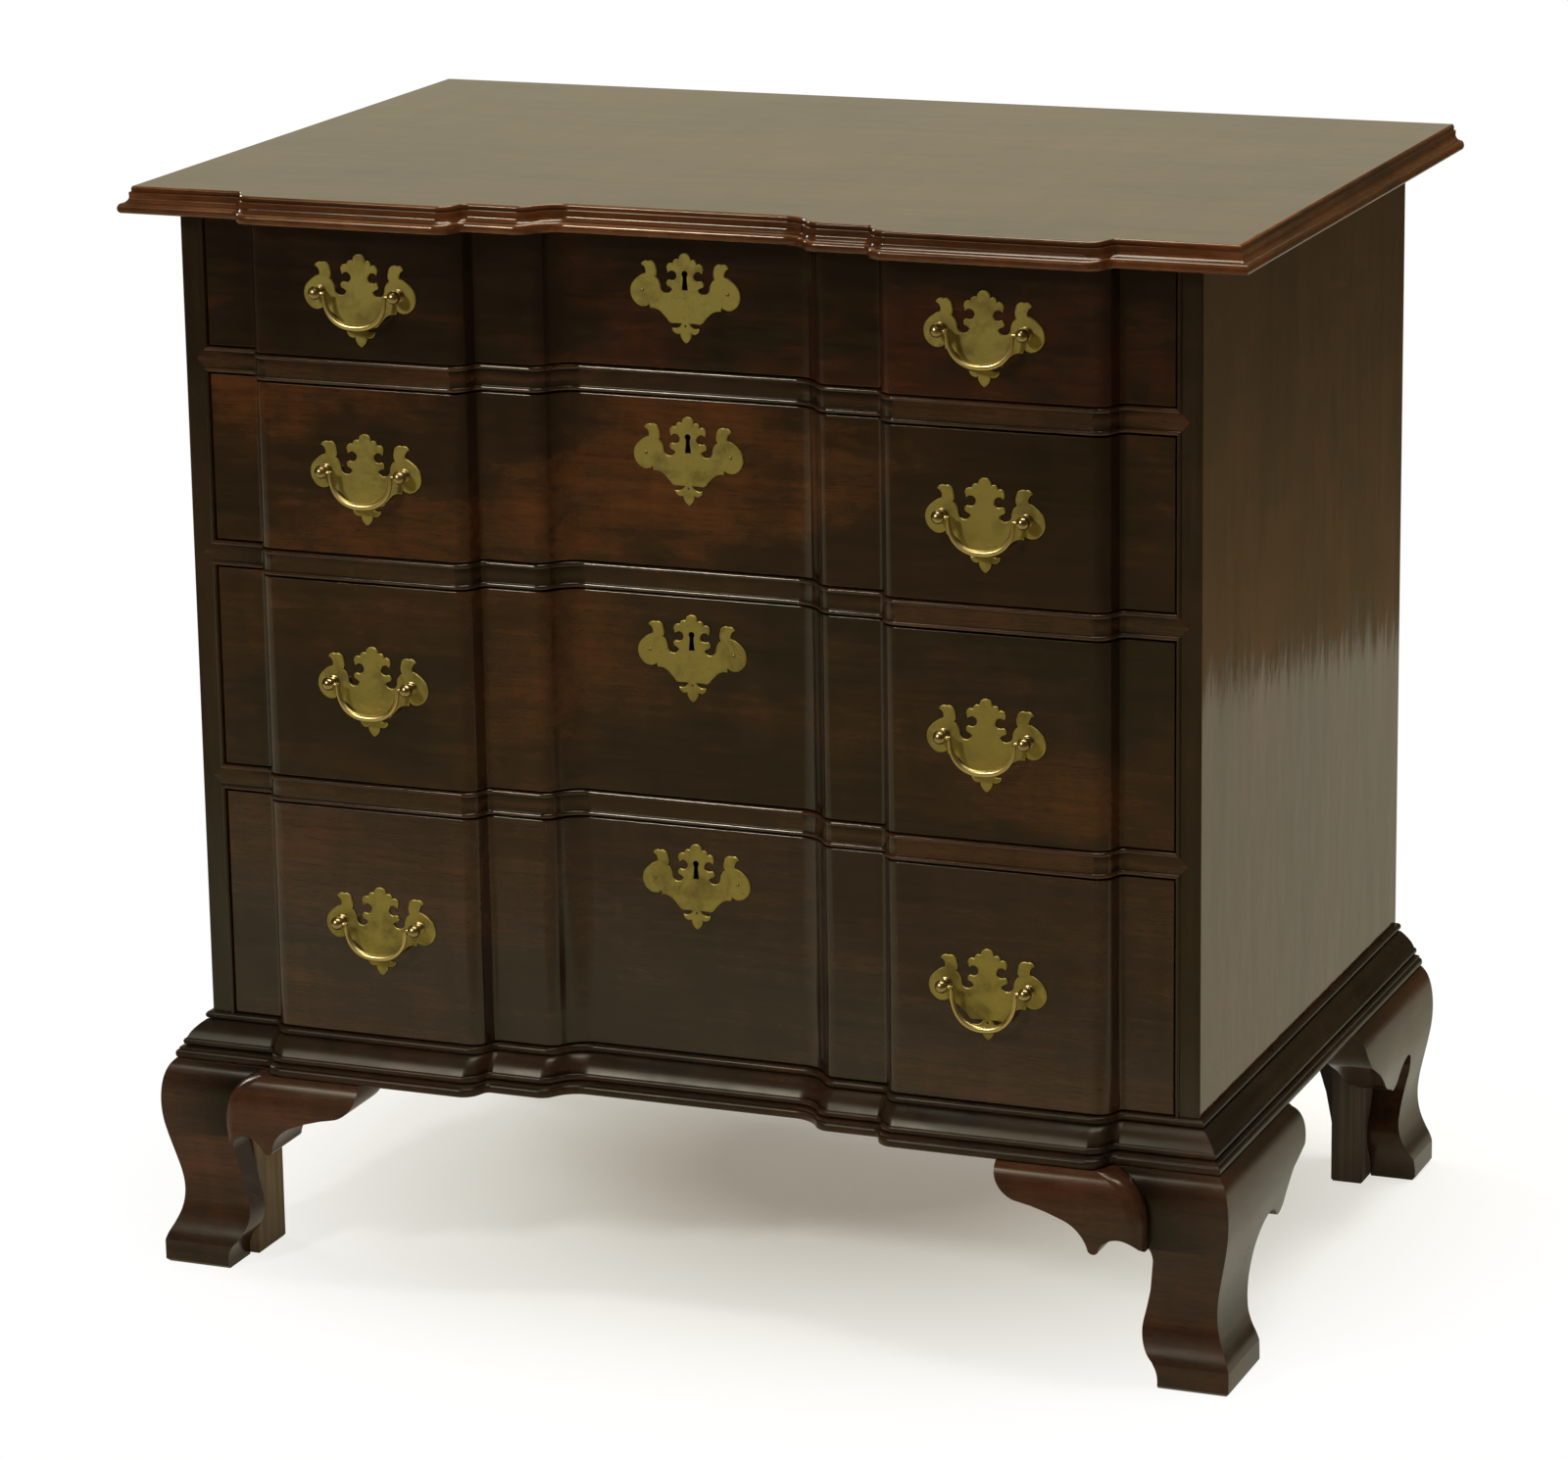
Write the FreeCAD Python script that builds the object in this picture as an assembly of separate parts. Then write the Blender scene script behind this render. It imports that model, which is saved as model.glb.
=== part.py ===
import FreeCAD, Part
import math
import os
from FreeCAD import Vector

# Block-front chest of four drawers on ogee bracket feet, in millimetres.
# The front is blocked: two raised panels and a hollow middle run in one plan
# line through the top, drawer fronts, blades, base moulding and feet.
# Working frame: x across, y back from the face of the stiles, z up from the floor.

# Round stretches are cut into flats, which keeps the whole model light
flat_turn = 36.0
round_sides = 8

# Case
case_width = 800.0
case_depth = 520.0
side_thickness = 19.0
blade_thickness = 19.5
blade_depth = 75.0
bottom_thickness = 18.0
back_board_thickness = 12.0
back_board_count = 4
back_board_gap = 1.0
back_rabbet = 9.0
drawer_openings = [101.5, 129.5, 156.5, 180.0]
housing_depth = 7.0

# Plan line of the blocked front, from each side inwards
outer_strip = 37.0
inner_strip = 37.0
block_rise = 18.0
block_flank = 20.0
block_flank_angle = 70.0
block_cove = 5.5
recess_flat = 168.0
recess_depth = 20.0
recess_flank = 34.0
recess_flank_angle = 56.0
recess_lip = 13.0

# Top board and its edge moulding
top_thickness = 20.0
top_side_overhang = 40.0
top_front_overhang = 24.0
top_back_overhang = 24.0
top_fillet = 4.5
top_bead = 7.5
top_bead_rise = 1.6
top_quirk = 1.4
top_ogee_hollow = 1.3
top_inset = 10.0
top_fillet_round = 1.7
housing_start = 45.0
housing_neck = 12.0
housing_spread = 4.5

# Base moulding
mould_height = 34.0
mould_bead = 5.5
mould_bead_reach = 4.5
mould_reach = 22.5
mould_lower_bead = 7.5
mould_lower_rise = 1.6
mould_quirk = 1.9
mould_ovolo_set = 3.1
mould_ovolo_share = 0.45
mould_neck = 2.4
mould_back = 40.0

# Beads worked on the blades and stiles
bead_width = 3.6
bead_rise = 1.6

# Share of a moulding bead's height taken by each of its two slopes
bead_slope = 0.28

# Ogee bracket feet
foot_height = 165.0
foot_bulge = 32.0
foot_ankle = 20.5
foot_toe = 33.0
foot_pad = 18.0
foot_pad_bevel = 2.5
knee_round = 12.0
knee_width = 110.0
bracket_back = 4.0
post_width = 26.0
post_depth = 46.0
post_lift = 1.0
glue_block = 20.0
front_strip_length = 91.0
side_strip_length = 86.0
rear_strip_length = 96.0
strip_gap = 4.0
brace_thickness = 18.0

# Drawers
front_back_face = 36.0
front_side_gap = 1.0
front_top_gap = 1.5
front_bottom_gap = 1.0
runner_gap = 0.3
drawer_side = 11.0
drawer_back = 11.0
drawer_side_drop = 4.0
drawer_rear_gap = 6.0
drawer_bottom = 8.0
bottom_lift = 7.0
groove_depth = 5.0
tail_length = 21.0
tail_spacing = 44.0
tail_slope = 0.14
pin_width = 7.0
runner_width = 22.0

# Brasses
plate_thickness = 1.6
post_spacing = 64.0
bail_stand = 9.0
ball_radius = 5.2
shank_width = 4.0
ball_cut_angle = 50.0
collar_radius = 4.8
collar_thickness = 2.4
neck_radius = 3.0
nut_width = 9.0
nut_thickness = 3.5
bail_pin_radius = 1.6
bail_pin_clearance = 0.05
bail_end_gap = 0.5
bail_end_radius = 2.0
bail_middle_radius = 3.0
bail_fullness = 2.4
bail_steps = 8
pin_reach = 2.6
bail_drop = 24.5
long_bail_drop = 30.0
pull_raise = 0.5
pull_inset = 5.5
escutcheon_drop = 42.0
escutcheon_scale = 0.955
keyhole_radius = 2.4
keyhole_slot = 3.4
keyhole_drop = 12.0
keyhole_raise = 12.5

# Locks, one behind each escutcheon
lock_width = 62.0
lock_height = 42.0
lock_thickness = 11.0
bolt_width = 24.0
bolt_thickness = 4.0
bolt_height = 30.0
bolt_travel = 6.0
bolt_clearance = 0.3
mortise_clearance = 1.0
keyhole_backing = 0.5

# Heights and widths that follow from those sizes; drawers are numbered from the top
drawer_numbers = list(range(1, len(drawer_openings) + 1))
half = case_width / 2
opening_half = half - side_thickness
mould_bottom = foot_height
case_floor = foot_height + mould_height
case_top = case_floor + sum(drawer_openings) + blade_thickness * (len(drawer_openings) - 1)
overall_height = case_top + top_thickness
front_reach = max(block_rise + foot_bulge, block_rise + top_front_overhang, foot_toe)
middle_y = (case_depth + top_back_overhang - front_reach) / 2
back_inside = case_depth - back_board_thickness
drawer_rear = back_inside - drawer_rear_gap

# How far a shape is carried past the cut that ends it
overrun = 60.0


def opening_floor(number):
    """Height of the shelf that drawer 1 (top) to 4 (bottom) runs on."""
    below = drawer_openings[number:]
    return case_floor + sum(below) + blade_thickness * len(below)


def save(name, solids):
    """Writes one node, moved so that the origin is under the middle of the whole."""
    shape = solids[0] if len(solids) == 1 else Part.makeCompound(solids)
    shape = shape.copy()
    shape.translate(Vector(0, -middle_y, 0))
    shape.exportStep("parts/" + name + ".step")


def block(x0, x1, y0, y1, z0, z1):
    return Part.makeBox(x1 - x0, y1 - y0, z1 - z0, Vector(x0, y0, z0))


def mirrored(shape):
    return shape.mirror(Vector(0, 0, 0), Vector(1, 0, 0))


def one_solid(shape):
    """The single solid of a boolean result, with its split faces joined."""
    return shape.removeSplitter().Solids[0]


def arc_points(start, middle, end):
    """Points along the arc through three points, one flat apart, without its start."""
    ax, ay = middle[0] - start[0], middle[1] - start[1]
    bx, by = end[0] - start[0], end[1] - start[1]
    twice = 2 * (ax * by - ay * bx)
    a2 = ax * ax + ay * ay
    b2 = bx * bx + by * by
    cx = start[0] + (by * a2 - ay * b2) / twice
    cy = start[1] + (ax * b2 - bx * a2) / twice
    radius = math.hypot(start[0] - cx, start[1] - cy)
    first = math.atan2(start[1] - cy, start[0] - cx)
    turn = math.atan2(end[1] - cy, end[0] - cx) - first
    if twice > 0 and turn < 0:
        turn += 2 * math.pi
    if twice < 0 and turn > 0:
        turn -= 2 * math.pi
    count = max(2, math.ceil(abs(math.degrees(turn)) / flat_turn))
    angles = [first + turn * step / count for step in range(1, count)]
    inner = [(cx + radius * math.cos(angle), cy + radius * math.sin(angle)) for angle in angles]
    return inner + [end]


def traced(points):
    """Corner points of an outline: a pair ends a line, a group of four holds an arc's middle and end."""
    corners = [points[0]]
    for item in points[1:]:
        if len(item) == 2:
            corners.append(item)
        else:
            corners += arc_points(corners[-1], item[:2], item[2:])
    return corners


def outline(points, place):
    """Closed wire through an outline's points, put into space by `place`."""
    corners = traced(points)
    return Part.makePolygon([place(u, v) for u, v in corners])


def moulding_bead(low, height, base, rise):
    """Section of a bead of a moulding, in three flats, from its lower edge up."""
    slope = height * bead_slope
    return [
        (base, low), (base + rise, low + slope),
        (base + rise, low + height - slope), (base, low + height)]


def flat(points):
    """Flat face with these corners."""
    return Part.Face(Part.makePolygon(points + points[:1]))


def ring_solid(rings):
    """Closed solid through a chain of rings that all have the same number of points."""
    faces = []
    for before, after in zip(rings, rings[1:]):
        for i in range(len(before)):
            j = (i + 1) % len(before)
            faces.append(flat([before[i], before[j], after[j]]))
            faces.append(flat([before[i], after[j], after[i]]))
    faces += [flat(rings[0]), flat(rings[-1])]
    return Part.makeSolid(Part.makeShell(faces))


def ring(centre, radius, across, up, stretch=1.0):
    """Points of a round with flats, in the plane of two directions."""
    points = []
    for side in range(round_sides):
        angle = 2 * math.pi * (side + 0.5) / round_sides
        offset = across * (radius * stretch * math.cos(angle))
        points.append(centre + offset + up * (radius * math.sin(angle)))
    return points


# --- Plan line of the front -------------------------------------------------

def flank_radii(width, depth, angle):
    """Sum of the two radii of a reversed curve of this size and steepest angle."""
    turn = math.radians(angle)
    half_tan = math.tan(turn / 2)
    straight = (depth - width * half_tan) / (math.sin(turn) - math.cos(turn) * half_tan)
    return (width - straight * math.cos(turn)) / math.sin(turn)


def flank(start, width, depth, angle, first_radius):
    """Reversed curve in plan: an arc, a straight at the steepest slope and a counter arc."""
    turn = math.radians(angle)
    side = math.copysign(1.0, depth)
    rise = abs(depth)
    last_radius = flank_radii(width, rise, angle) - first_radius

    def at(x, y):
        return (start[0] + x, start[1] + side * y)

    def on_arc(radius, share):
        return radius * math.sin(turn * share), radius * (1 - math.cos(turn * share))

    first_middle = at(*on_arc(first_radius, 0.5))
    first_end = at(*on_arc(first_radius, 1.0))
    back_x, back_y = on_arc(last_radius, 1.0)
    middle_x, middle_y = on_arc(last_radius, 0.5)
    last_start = at(width - back_x, rise - back_y)
    last_middle = at(width - middle_x, rise - middle_y)
    return [first_middle + first_end, last_start, last_middle + at(width, rise)]


def plan_line(reach):
    """Points of the blocked front in plan, from -reach to +reach."""
    knee_radius = flank_radii(block_flank, block_rise, block_flank_angle) - block_cove
    block_inner = recess_edge() + recess_flank + inner_strip + block_flank
    strip_end = (-opening_half + outer_strip, 0.0)
    points = [(-reach, 0.0), strip_end]
    points += flank(strip_end, block_flank, -block_rise, block_flank_angle, block_cove)
    block_end = (-block_inner, -block_rise)
    points.append(block_end)
    points += flank(block_end, block_flank, block_rise, block_flank_angle, knee_radius)
    inner_end = (-recess_edge() - recess_flank, 0.0)
    points.append(inner_end)
    points += flank(inner_end, recess_flank, recess_depth, recess_flank_angle, recess_lip)
    left = traced(points)
    return left + [(-x, y) for x, y in reversed(left)]


def recess_edge():
    return recess_flat / 2


def block_middle():
    """Middle of a raised panel."""
    inner = recess_edge() + recess_flank + inner_strip + block_flank
    outer = opening_half - outer_strip - block_flank
    return (inner + outer) / 2


def pull_middle():
    return block_middle() - pull_inset


def along_front(points, reach):
    """Solid whose section (forward, z) is carried along the plan line without turning."""
    path = Part.makePolygon([Vector(x, y, 0) for x, y in plan_line(reach)])
    sweep = Part.BRepOffsetAPI.MakePipeShell(path)
    sweep.setTrihedronMode(Vector(0, 0, 0), Vector(1, 0, 0))
    sweep.add(outline(points, lambda forward, z: Vector(-reach, -forward, z)), False, False)
    sweep.build()
    sweep.makeSolid()
    return sweep.shape()


def along_side(points, y0, y1):
    """Solid whose section (outward from the case side, z) runs straight back on the right."""
    face = Part.Face(outline(points, lambda outward, z: Vector(half + outward, y0, z)))
    return face.extrude(Vector(0, y1 - y0, 0))


def blocked_board(back, z0, z1, x_half):
    """Board with the blocked front and a flat back."""
    points = plan_line(x_half) + [(x_half, back), (-x_half, back), (-x_half, 0.0)]
    face = Part.Face(outline(points, lambda x, y: Vector(x, y, z0)))
    return face.extrude(Vector(0, 0, z1 - z0))


def corner_wedge(reach, z0, z1):
    """Prism on the side's part of the right mitre, outside the line x - half = -y."""
    far = half + reach
    corners = [Vector(half - reach, reach, z0), Vector(far, -reach, z0), Vector(far, reach, z0)]
    return flat(corners).extrude(Vector(0, 0, z1 - z0))


# --- Top ----------------------------------------------------------------------

def top_edge(overhang, back):
    """Section of the top's edge: lower bead, ogee and upper fillet."""
    z = case_top
    ogee_low = z + top_bead
    ogee_high = overall_height - top_fillet
    ogee_front = overhang - top_bead_rise - top_quirk
    ogee_back = overhang - top_inset + 2 * top_fillet_round
    hollow = (ogee_front - top_ogee_hollow, (ogee_low + ogee_high) / 2)
    points = [(back, z)]
    points += moulding_bead(z, top_bead, overhang - top_bead_rise, top_bead_rise)
    points += [
        (ogee_front, ogee_low),
        hollow + (ogee_back, ogee_high),
        (overhang - top_inset + top_fillet_round, ogee_high),
        (overhang - top_inset + top_fillet_round, overall_height - top_fillet_round),
        (overhang - top_inset, overall_height),
        (back, overall_height),
        (back, z)]
    return points


def top_board():
    """Top, moulded on its front and sides, with sockets for the sides and the top bolt."""
    reach = half + top_side_overhang + overrun
    front = along_front(top_edge(top_front_overhang, -overrun), reach)
    back_edge = case_depth + top_back_overhang
    rear = block(-reach, reach, recess_depth, back_edge, case_top, overall_height)
    front = front.common(block(-reach, reach, -reach, overrun, case_top, overall_height))
    board = front.fuse(rear)
    sides = along_side(top_edge(top_side_overhang, -half), -reach, back_edge)
    board = one_solid(board.common(sides.fuse(mirrored(sides))))
    board = board.cut(top_dovetail()).cut(mirrored(top_dovetail()))
    return one_solid(board.cut(bolt_mortise(1)))


def top_dovetail():
    """Sliding dovetail along the top of the right-hand side."""
    x = half - side_thickness / 2
    narrow = housing_neck / 2
    wide = (housing_neck + housing_spread) / 2
    corners = [
        Vector(x - narrow, housing_start, case_top),
        Vector(x + narrow, housing_start, case_top),
        Vector(x + wide, housing_start, case_top + housing_depth),
        Vector(x - wide, housing_start, case_top + housing_depth)]
    return flat(corners).extrude(Vector(0, case_depth - housing_start, 0))


# --- Case ---------------------------------------------------------------------

def side_board(side):
    """Case side, with its front edge showing as the stile beside the drawers."""
    x0 = opening_half
    board = block(x0, half, 0, case_depth, mould_bottom, case_top)
    board = board.cut(block(x0, half - back_rabbet, back_inside, case_depth, mould_bottom, case_top))
    grooves = [(case_floor - bottom_thickness, case_floor, case_depth)]
    for number in drawer_numbers[:-1]:
        z1 = opening_floor(number)
        grooves.append((z1 - blade_thickness, z1, blade_depth))
    for low, high, depth in grooves:
        board = board.cut(block(x0, x0 + housing_depth, 0, depth, low, high))
    board = board.fuse(top_dovetail())
    for number in drawer_numbers:
        board = board.fuse(stile_bead(number))
    board = one_solid(board)
    return board if side > 0 else mirrored(board)


def stile_bead(number):
    """Upright bead beside one opening, mitred where it meets the beads of the blades."""
    floor = opening_floor(number)
    roof = floor + drawer_openings[number - 1]
    foot_mitre = 0.0 if number == drawer_numbers[-1] else 1.0
    head_mitre = 0.0 if number == drawer_numbers[0] else 1.0
    rings = []
    for z, mitre in ((floor, -foot_mitre), (roof, head_mitre)):
        across = ((0.0, 0.0), (bead_width / 2, bead_rise), (bead_width, 0.0))
        rings.append([Vector(opening_half + u, -rise, z + mitre * u) for u, rise in across])
    return ring_solid(rings)


def bead_end(edge, way):
    """Mitred end of a blade's bead on the right-hand stile; the bead lies `way` from its edge."""
    middle, far = edge + way * bead_width / 2, edge + way * bead_width
    tip = Vector(opening_half, 0, edge)
    crown, heel = Vector(opening_half, -bead_rise, middle), Vector(opening_half, 0, far)
    crown_end = Vector(opening_half + bead_width / 2, -bead_rise, middle)
    heel_end = Vector(opening_half + bead_width, 0, far)
    faces = [flat([tip, crown, heel]), flat([tip, crown, crown_end]), flat([tip, crown_end, heel_end]),
             flat([tip, heel, heel_end]), flat([crown, heel, heel_end, crown_end])]
    return Part.makeSolid(Part.makeShell(faces))


def blade(number):
    """Rail under a drawer, blocked in plan, with a bead along each edge."""
    z1 = opening_floor(number)
    z0 = z1 - blade_thickness
    rail = blocked_board(blade_depth, z0, z1, opening_half)
    tongue = block(opening_half, opening_half + housing_depth, 0, blade_depth, z0, z1)
    rail = rail.fuse(tongue).fuse(mirrored(tongue))
    for low in (z0, z1 - bead_width):
        section = [
            (-bead_width, low), (0.0, low), (bead_rise, low + bead_width / 2),
            (0.0, low + bead_width), (-bead_width, low + bead_width), (-bead_width, low)]
        rail = rail.fuse(along_front(section, opening_half))
    for end in (bead_end(z0, 1), bead_end(z1, -1)):
        rail = rail.fuse(end).fuse(mirrored(end))
    return one_solid(one_solid(rail).cut(bolt_mortise(number + 1)))


def bottom_board():
    """Floor of the case, on which the lowest drawer runs."""
    x_end = opening_half + housing_depth
    return block(-x_end, x_end, mould_back, back_inside,
                 case_floor - bottom_thickness, case_floor)


def back_boards():
    """Horizontal boards in the rabbets of the sides."""
    x_end = half - back_rabbet
    low = case_floor - bottom_thickness
    pitch = (case_top - low) / back_board_count
    boards = []
    for row in range(back_board_count):
        z0 = low + row * pitch + (back_board_gap if row else 0)
        boards.append(block(-x_end, x_end, back_inside, case_depth, z0, low + (row + 1) * pitch))
    return boards


def runner_rails():
    """Side runners for the upper three drawers, nailed to the case sides."""
    rails = []
    for number in drawer_numbers[:-1]:
        z1 = opening_floor(number)
        rail = block(opening_half - runner_width, opening_half, blade_depth, back_inside,
                     z1 - blade_thickness, z1)
        rails += [mirrored(rail), rail]
    return rails


# --- Base moulding --------------------------------------------------------------

def mould_section(back):
    """Base moulding from the bottom up: lower bead, long ovolo and upper bead."""
    z = mould_bottom
    ovolo_low = z + mould_lower_bead
    bead_low = case_floor - mould_bead
    ovolo_top = mould_quirk / 2 + mould_bead_reach
    ovolo_front = mould_reach - mould_lower_rise - mould_quirk
    neck = mould_bead_reach - mould_neck
    middle_z = ovolo_low + (bead_low - ovolo_low) * mould_ovolo_share + mould_quirk
    points = [(back, z)]
    points += moulding_bead(z, mould_lower_bead, mould_reach - mould_lower_rise, mould_lower_rise)
    points += [
        (ovolo_front, ovolo_low),
        (ovolo_front - mould_ovolo_set, middle_z, ovolo_top, bead_low - mould_quirk),
        (neck, bead_low - mould_quirk / 2)]
    points += moulding_bead(bead_low, mould_bead, neck, mould_neck)
    points += [(back, case_floor), (back, z)]
    return points


def base_mould_front():
    """Front base moulding, mitred at both ends and cut round the stiles."""
    reach = half + mould_reach + overrun
    mould = along_front(mould_section(-mould_back - overrun), reach)
    mould = mould.common(block(-reach, reach, -reach, mould_back, mould_bottom, case_floor))
    for side in (1, -1):
        wedge = corner_wedge(reach, mould_bottom, case_floor)
        stile = block(opening_half, reach + half, 0, reach, mould_bottom, case_floor)
        if side < 0:
            wedge = mirrored(wedge)
            stile = mirrored(stile)
        mould = mould.cut(wedge).cut(stile)
    return one_solid(mould)


def base_mould_side(side):
    """Side base moulding, mitred at the front."""
    reach = mould_reach + overrun
    mould = along_side(mould_section(0.0), -reach, case_depth)
    mould = mould.common(corner_wedge(case_depth + reach, mould_bottom, case_floor))
    mould = one_solid(mould)
    return mould if side > 0 else mirrored(mould)


# --- Feet -------------------------------------------------------------------------

# Ogee of the feet from the top down, as (outward, height) for a 165 mm foot.
ogee_points = [
    (22.0, 165.0), (26.4, 160.0), (29.7, 152.0), (31.5, 142.0), (foot_bulge, 130.0),
    (31.0, 117.0), (28.4, 103.0), (25.0, 88.0), (22.0, 74.0), (foot_ankle, 60.0),
    (21.6, 46.0), (25.8, 34.0), (30.8, 24.0), (foot_toe, foot_pad)]

# How far the blocked knee swells sideways past the strip, as (swell, height).
knee_swell = [
    (2.0, 165.0), (12.0, 160.0), (20.0, 152.0), (25.2, 142.0), (27.5, 130.0),
    (27.4, 117.0), (26.0, 103.0), (22.0, 88.0)]


def foot_rate():
    return foot_height / 165.0


def reach_at(points, height):
    """Outward reach of a falling line of (outward, height) points at one height."""
    for upper, lower in zip(points, points[1:]):
        if height >= lower[1]:
            share = (upper[1] - height) / (upper[1] - lower[1])
            return upper[0] + share * (lower[0] - upper[0])
    return points[-1][0]


def foot_run(back, place, direction):
    """Ogee moulding of the feet: its section at `place`, carried along `direction`."""
    rate = foot_rate()
    points = [(out, z * rate) for out, z in ogee_points]
    points += [
        (foot_toe, foot_pad_bevel), (foot_toe - foot_pad_bevel, 0.0),
        (back, 0.0), (back, foot_height), points[0]]
    return Part.Face(outline(points, place)).extrude(direction)


front_outline = [
    (0.0, 165.0), (143.0, 165.0),
    (139.5, 149.5, 126.0, 139.0),
    (106.0, 134.5, 88.0, 128.0),
    (76.5, 119.5, 70.5, 107.5),
    (66.5, 103.0, 62.0, 107.0),
    (47.0, 117.0, 32.5, 110.0),
    (28.0, 103.5, 27.0, 95.0),
    (30.5, 71.0, 35.5, 49.0),
    (34.0, 31.0, 26.0, 20.0),
    (22.8, 14.0, 22.0, 0.0),
    (0.0, 0.0), (0.0, 165.0)]

side_outline = [
    (0.0, 165.0), (151.0, 165.0),
    (163.0, 148.0, 160.5, 132.0),
    (147.0, 127.0, 134.0, 122.5),
    (125.0, 112.0, 121.0, 98.5),
    (114.0, 92.0, 105.0, 95.0),
    (83.0, 104.0, 66.5, 97.0),
    (60.5, 88.5, 58.5, 78.0),
    (55.5, 59.0, 49.5, 45.0),
    (44.0, 33.0, 43.0, 19.0),
    (44.0, 9.0, 46.0, 0.0),
    (0.0, 0.0), (0.0, 165.0)]

rear_outline = [
    (0.0, 165.0), (188.0, 165.0),
    (186.0, 147.0, 171.0, 131.0),
    (152.0, 121.0, 132.0, 108.0),
    (114.0, 97.0, 98.0, 92.0),
    (89.0, 88.5, 82.0, 96.0),
    (66.0, 110.0, 50.0, 100.0),
    (45.5, 92.0, 45.4, 84.0),
    (48.5, 67.0, 56.0, 54.0),
    (62.0, 41.0, 59.0, 25.0),
    (52.0, 12.0, 48.0, 0.0),
    (0.0, 0.0), (0.0, 165.0)]

brace_outline = [
    (0.0, 165.0), (98.0, 165.0),
    (52.0, 86.0, 36.0, 1.0),
    (0.0, 1.0), (0.0, 165.0)]


def scaled_outline(points):
    """A bracket outline drawn for a 165 mm foot, at this foot's height."""
    rate = foot_rate()
    return [tuple(v * rate if i % 2 else v for i, v in enumerate(item)) for item in points]


def outline_prism(points, place, direction):
    return Part.Face(outline(scaled_outline(points), place)).extrude(direction)


def widened(points):
    """The outline carried out past the corner, where the mitre cuts it."""
    return [tuple(-overrun if (i % 2 == 0 and v == 0.0) else v for i, v in enumerate(item))
            for item in points]


def knee_block():
    """Blocked part of a front foot: ogee in front, swelling and rounded at its outer side."""
    rate = foot_rate()
    strip_end = opening_half - outer_strip
    inner = strip_end - knee_width
    sections = []
    for swell, height in knee_swell:
        front = -block_rise - reach_at(ogee_points, height)
        side = strip_end + swell
        r = knee_round
        diagonal = r * (1 - math.sqrt(0.5))
        points = [
            (inner, front), (side - r, front), (side - diagonal, front + diagonal, side, front + r),
            (side, bracket_back), (inner, bracket_back), (inner, front)]
        sections.append(outline(points, lambda x, y: Vector(x, y, height * rate)))
    return Part.makeLoft(sections, True, True)


def foot_front(side):
    """Mitred front foot: a front bracket with its blocked knee, and a plain side bracket."""
    reach = half + foot_toe + overrun
    inner = opening_half - outer_strip
    leg = foot_run(-bracket_back, lambda out, z: Vector(inner, -out, z), Vector(reach - inner, 0, 0))
    prism = outline_prism(
        widened(front_outline), lambda u, z: Vector(half - u, -reach, z), Vector(0, 2 * reach, 0))
    front = leg.common(prism).fuse(knee_block().common(prism))
    front = front.cut(corner_wedge(reach, 0, foot_height))
    run = foot_run(
        -bracket_back, lambda out, z: Vector(half + out, -reach, z), Vector(0, reach + case_depth, 0))
    flank_part = run.common(outline_prism(
        widened(side_outline), lambda v, z: Vector(0, v, z), Vector(2 * reach, 0, 0)))
    flank_part = flank_part.common(corner_wedge(reach, 0, foot_height))
    solids = [one_solid(front), one_solid(flank_part)]
    return solids if side > 0 else [mirrored(s) for s in solids]


def foot_back(side):
    """Rear foot: an ogee side bracket, square at the back, and a plain brace behind it."""
    reach = half + foot_toe + overrun
    run = foot_run(-bracket_back, lambda out, z: Vector(half + out, 0, z), Vector(0, case_depth, 0))
    bracket = run.common(outline_prism(
        rear_outline, lambda w, z: Vector(0, case_depth - w, z), Vector(reach, 0, 0)))
    brace_y = back_inside - brace_thickness
    brace = outline_prism(
        brace_outline, lambda u, z: Vector(half - bracket_back - u, brace_y, z),
        Vector(0, brace_thickness, 0))
    solids = [one_solid(bracket), brace]
    return solids if side > 0 else [mirrored(s) for s in solids]


def foot_blocks():
    """Corner posts and strips glued behind the brackets."""
    inner = half - bracket_back
    low = foot_height - glue_block
    front = bracket_back + post_depth + strip_gap
    rear = back_inside - brace_thickness - post_depth
    strip_end = inner - post_width - strip_gap
    right = [
        block(inner - post_width, inner, bracket_back, bracket_back + post_depth,
              post_lift, foot_height),
        block(strip_end - front_strip_length, strip_end, bracket_back, bracket_back + glue_block,
              low, foot_height),
        block(inner - glue_block, inner, front, front + side_strip_length, low, foot_height),
        block(inner - post_width, inner, rear, rear + post_depth, post_lift, foot_height),
        block(inner - glue_block, inner, rear - strip_gap - rear_strip_length, rear - strip_gap,
              low, foot_height)]
    return right + [mirrored(piece) for piece in right]


# --- Drawers --------------------------------------------------------------------

def tail_shapes(number, base_y, tip_y):
    """Dovetail tails of the right-hand drawer side between two y positions."""
    z0, z1 = side_span(number)
    count = max(2, round((z1 - z0) / tail_spacing))
    pitch = (z1 - z0) / count
    widening = abs(tip_y - base_y) * tail_slope
    shapes = []
    for index in range(count):
        middle = z0 + (index + 0.5) * pitch
        base_half = (pitch - pin_width) / 2 - widening / 2
        tip_half = base_half + widening
        corners = [
            Vector(box_inner(), base_y, middle - base_half),
            Vector(box_inner(), tip_y, middle - tip_half),
            Vector(box_inner(), tip_y, middle + tip_half),
            Vector(box_inner(), base_y, middle + base_half)]
        shapes.append(flat(corners).extrude(Vector(drawer_side, 0, 0)))
    return shapes


def box_outer():
    return opening_half - front_side_gap


def box_inner():
    return box_outer() - drawer_side


def side_span(number):
    z0 = opening_floor(number)
    return z0 + runner_gap, z0 + drawer_openings[number - 1] - drawer_side_drop


def bottom_span(number):
    z0 = side_span(number)[0] + bottom_lift
    return z0, z0 + drawer_bottom


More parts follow.
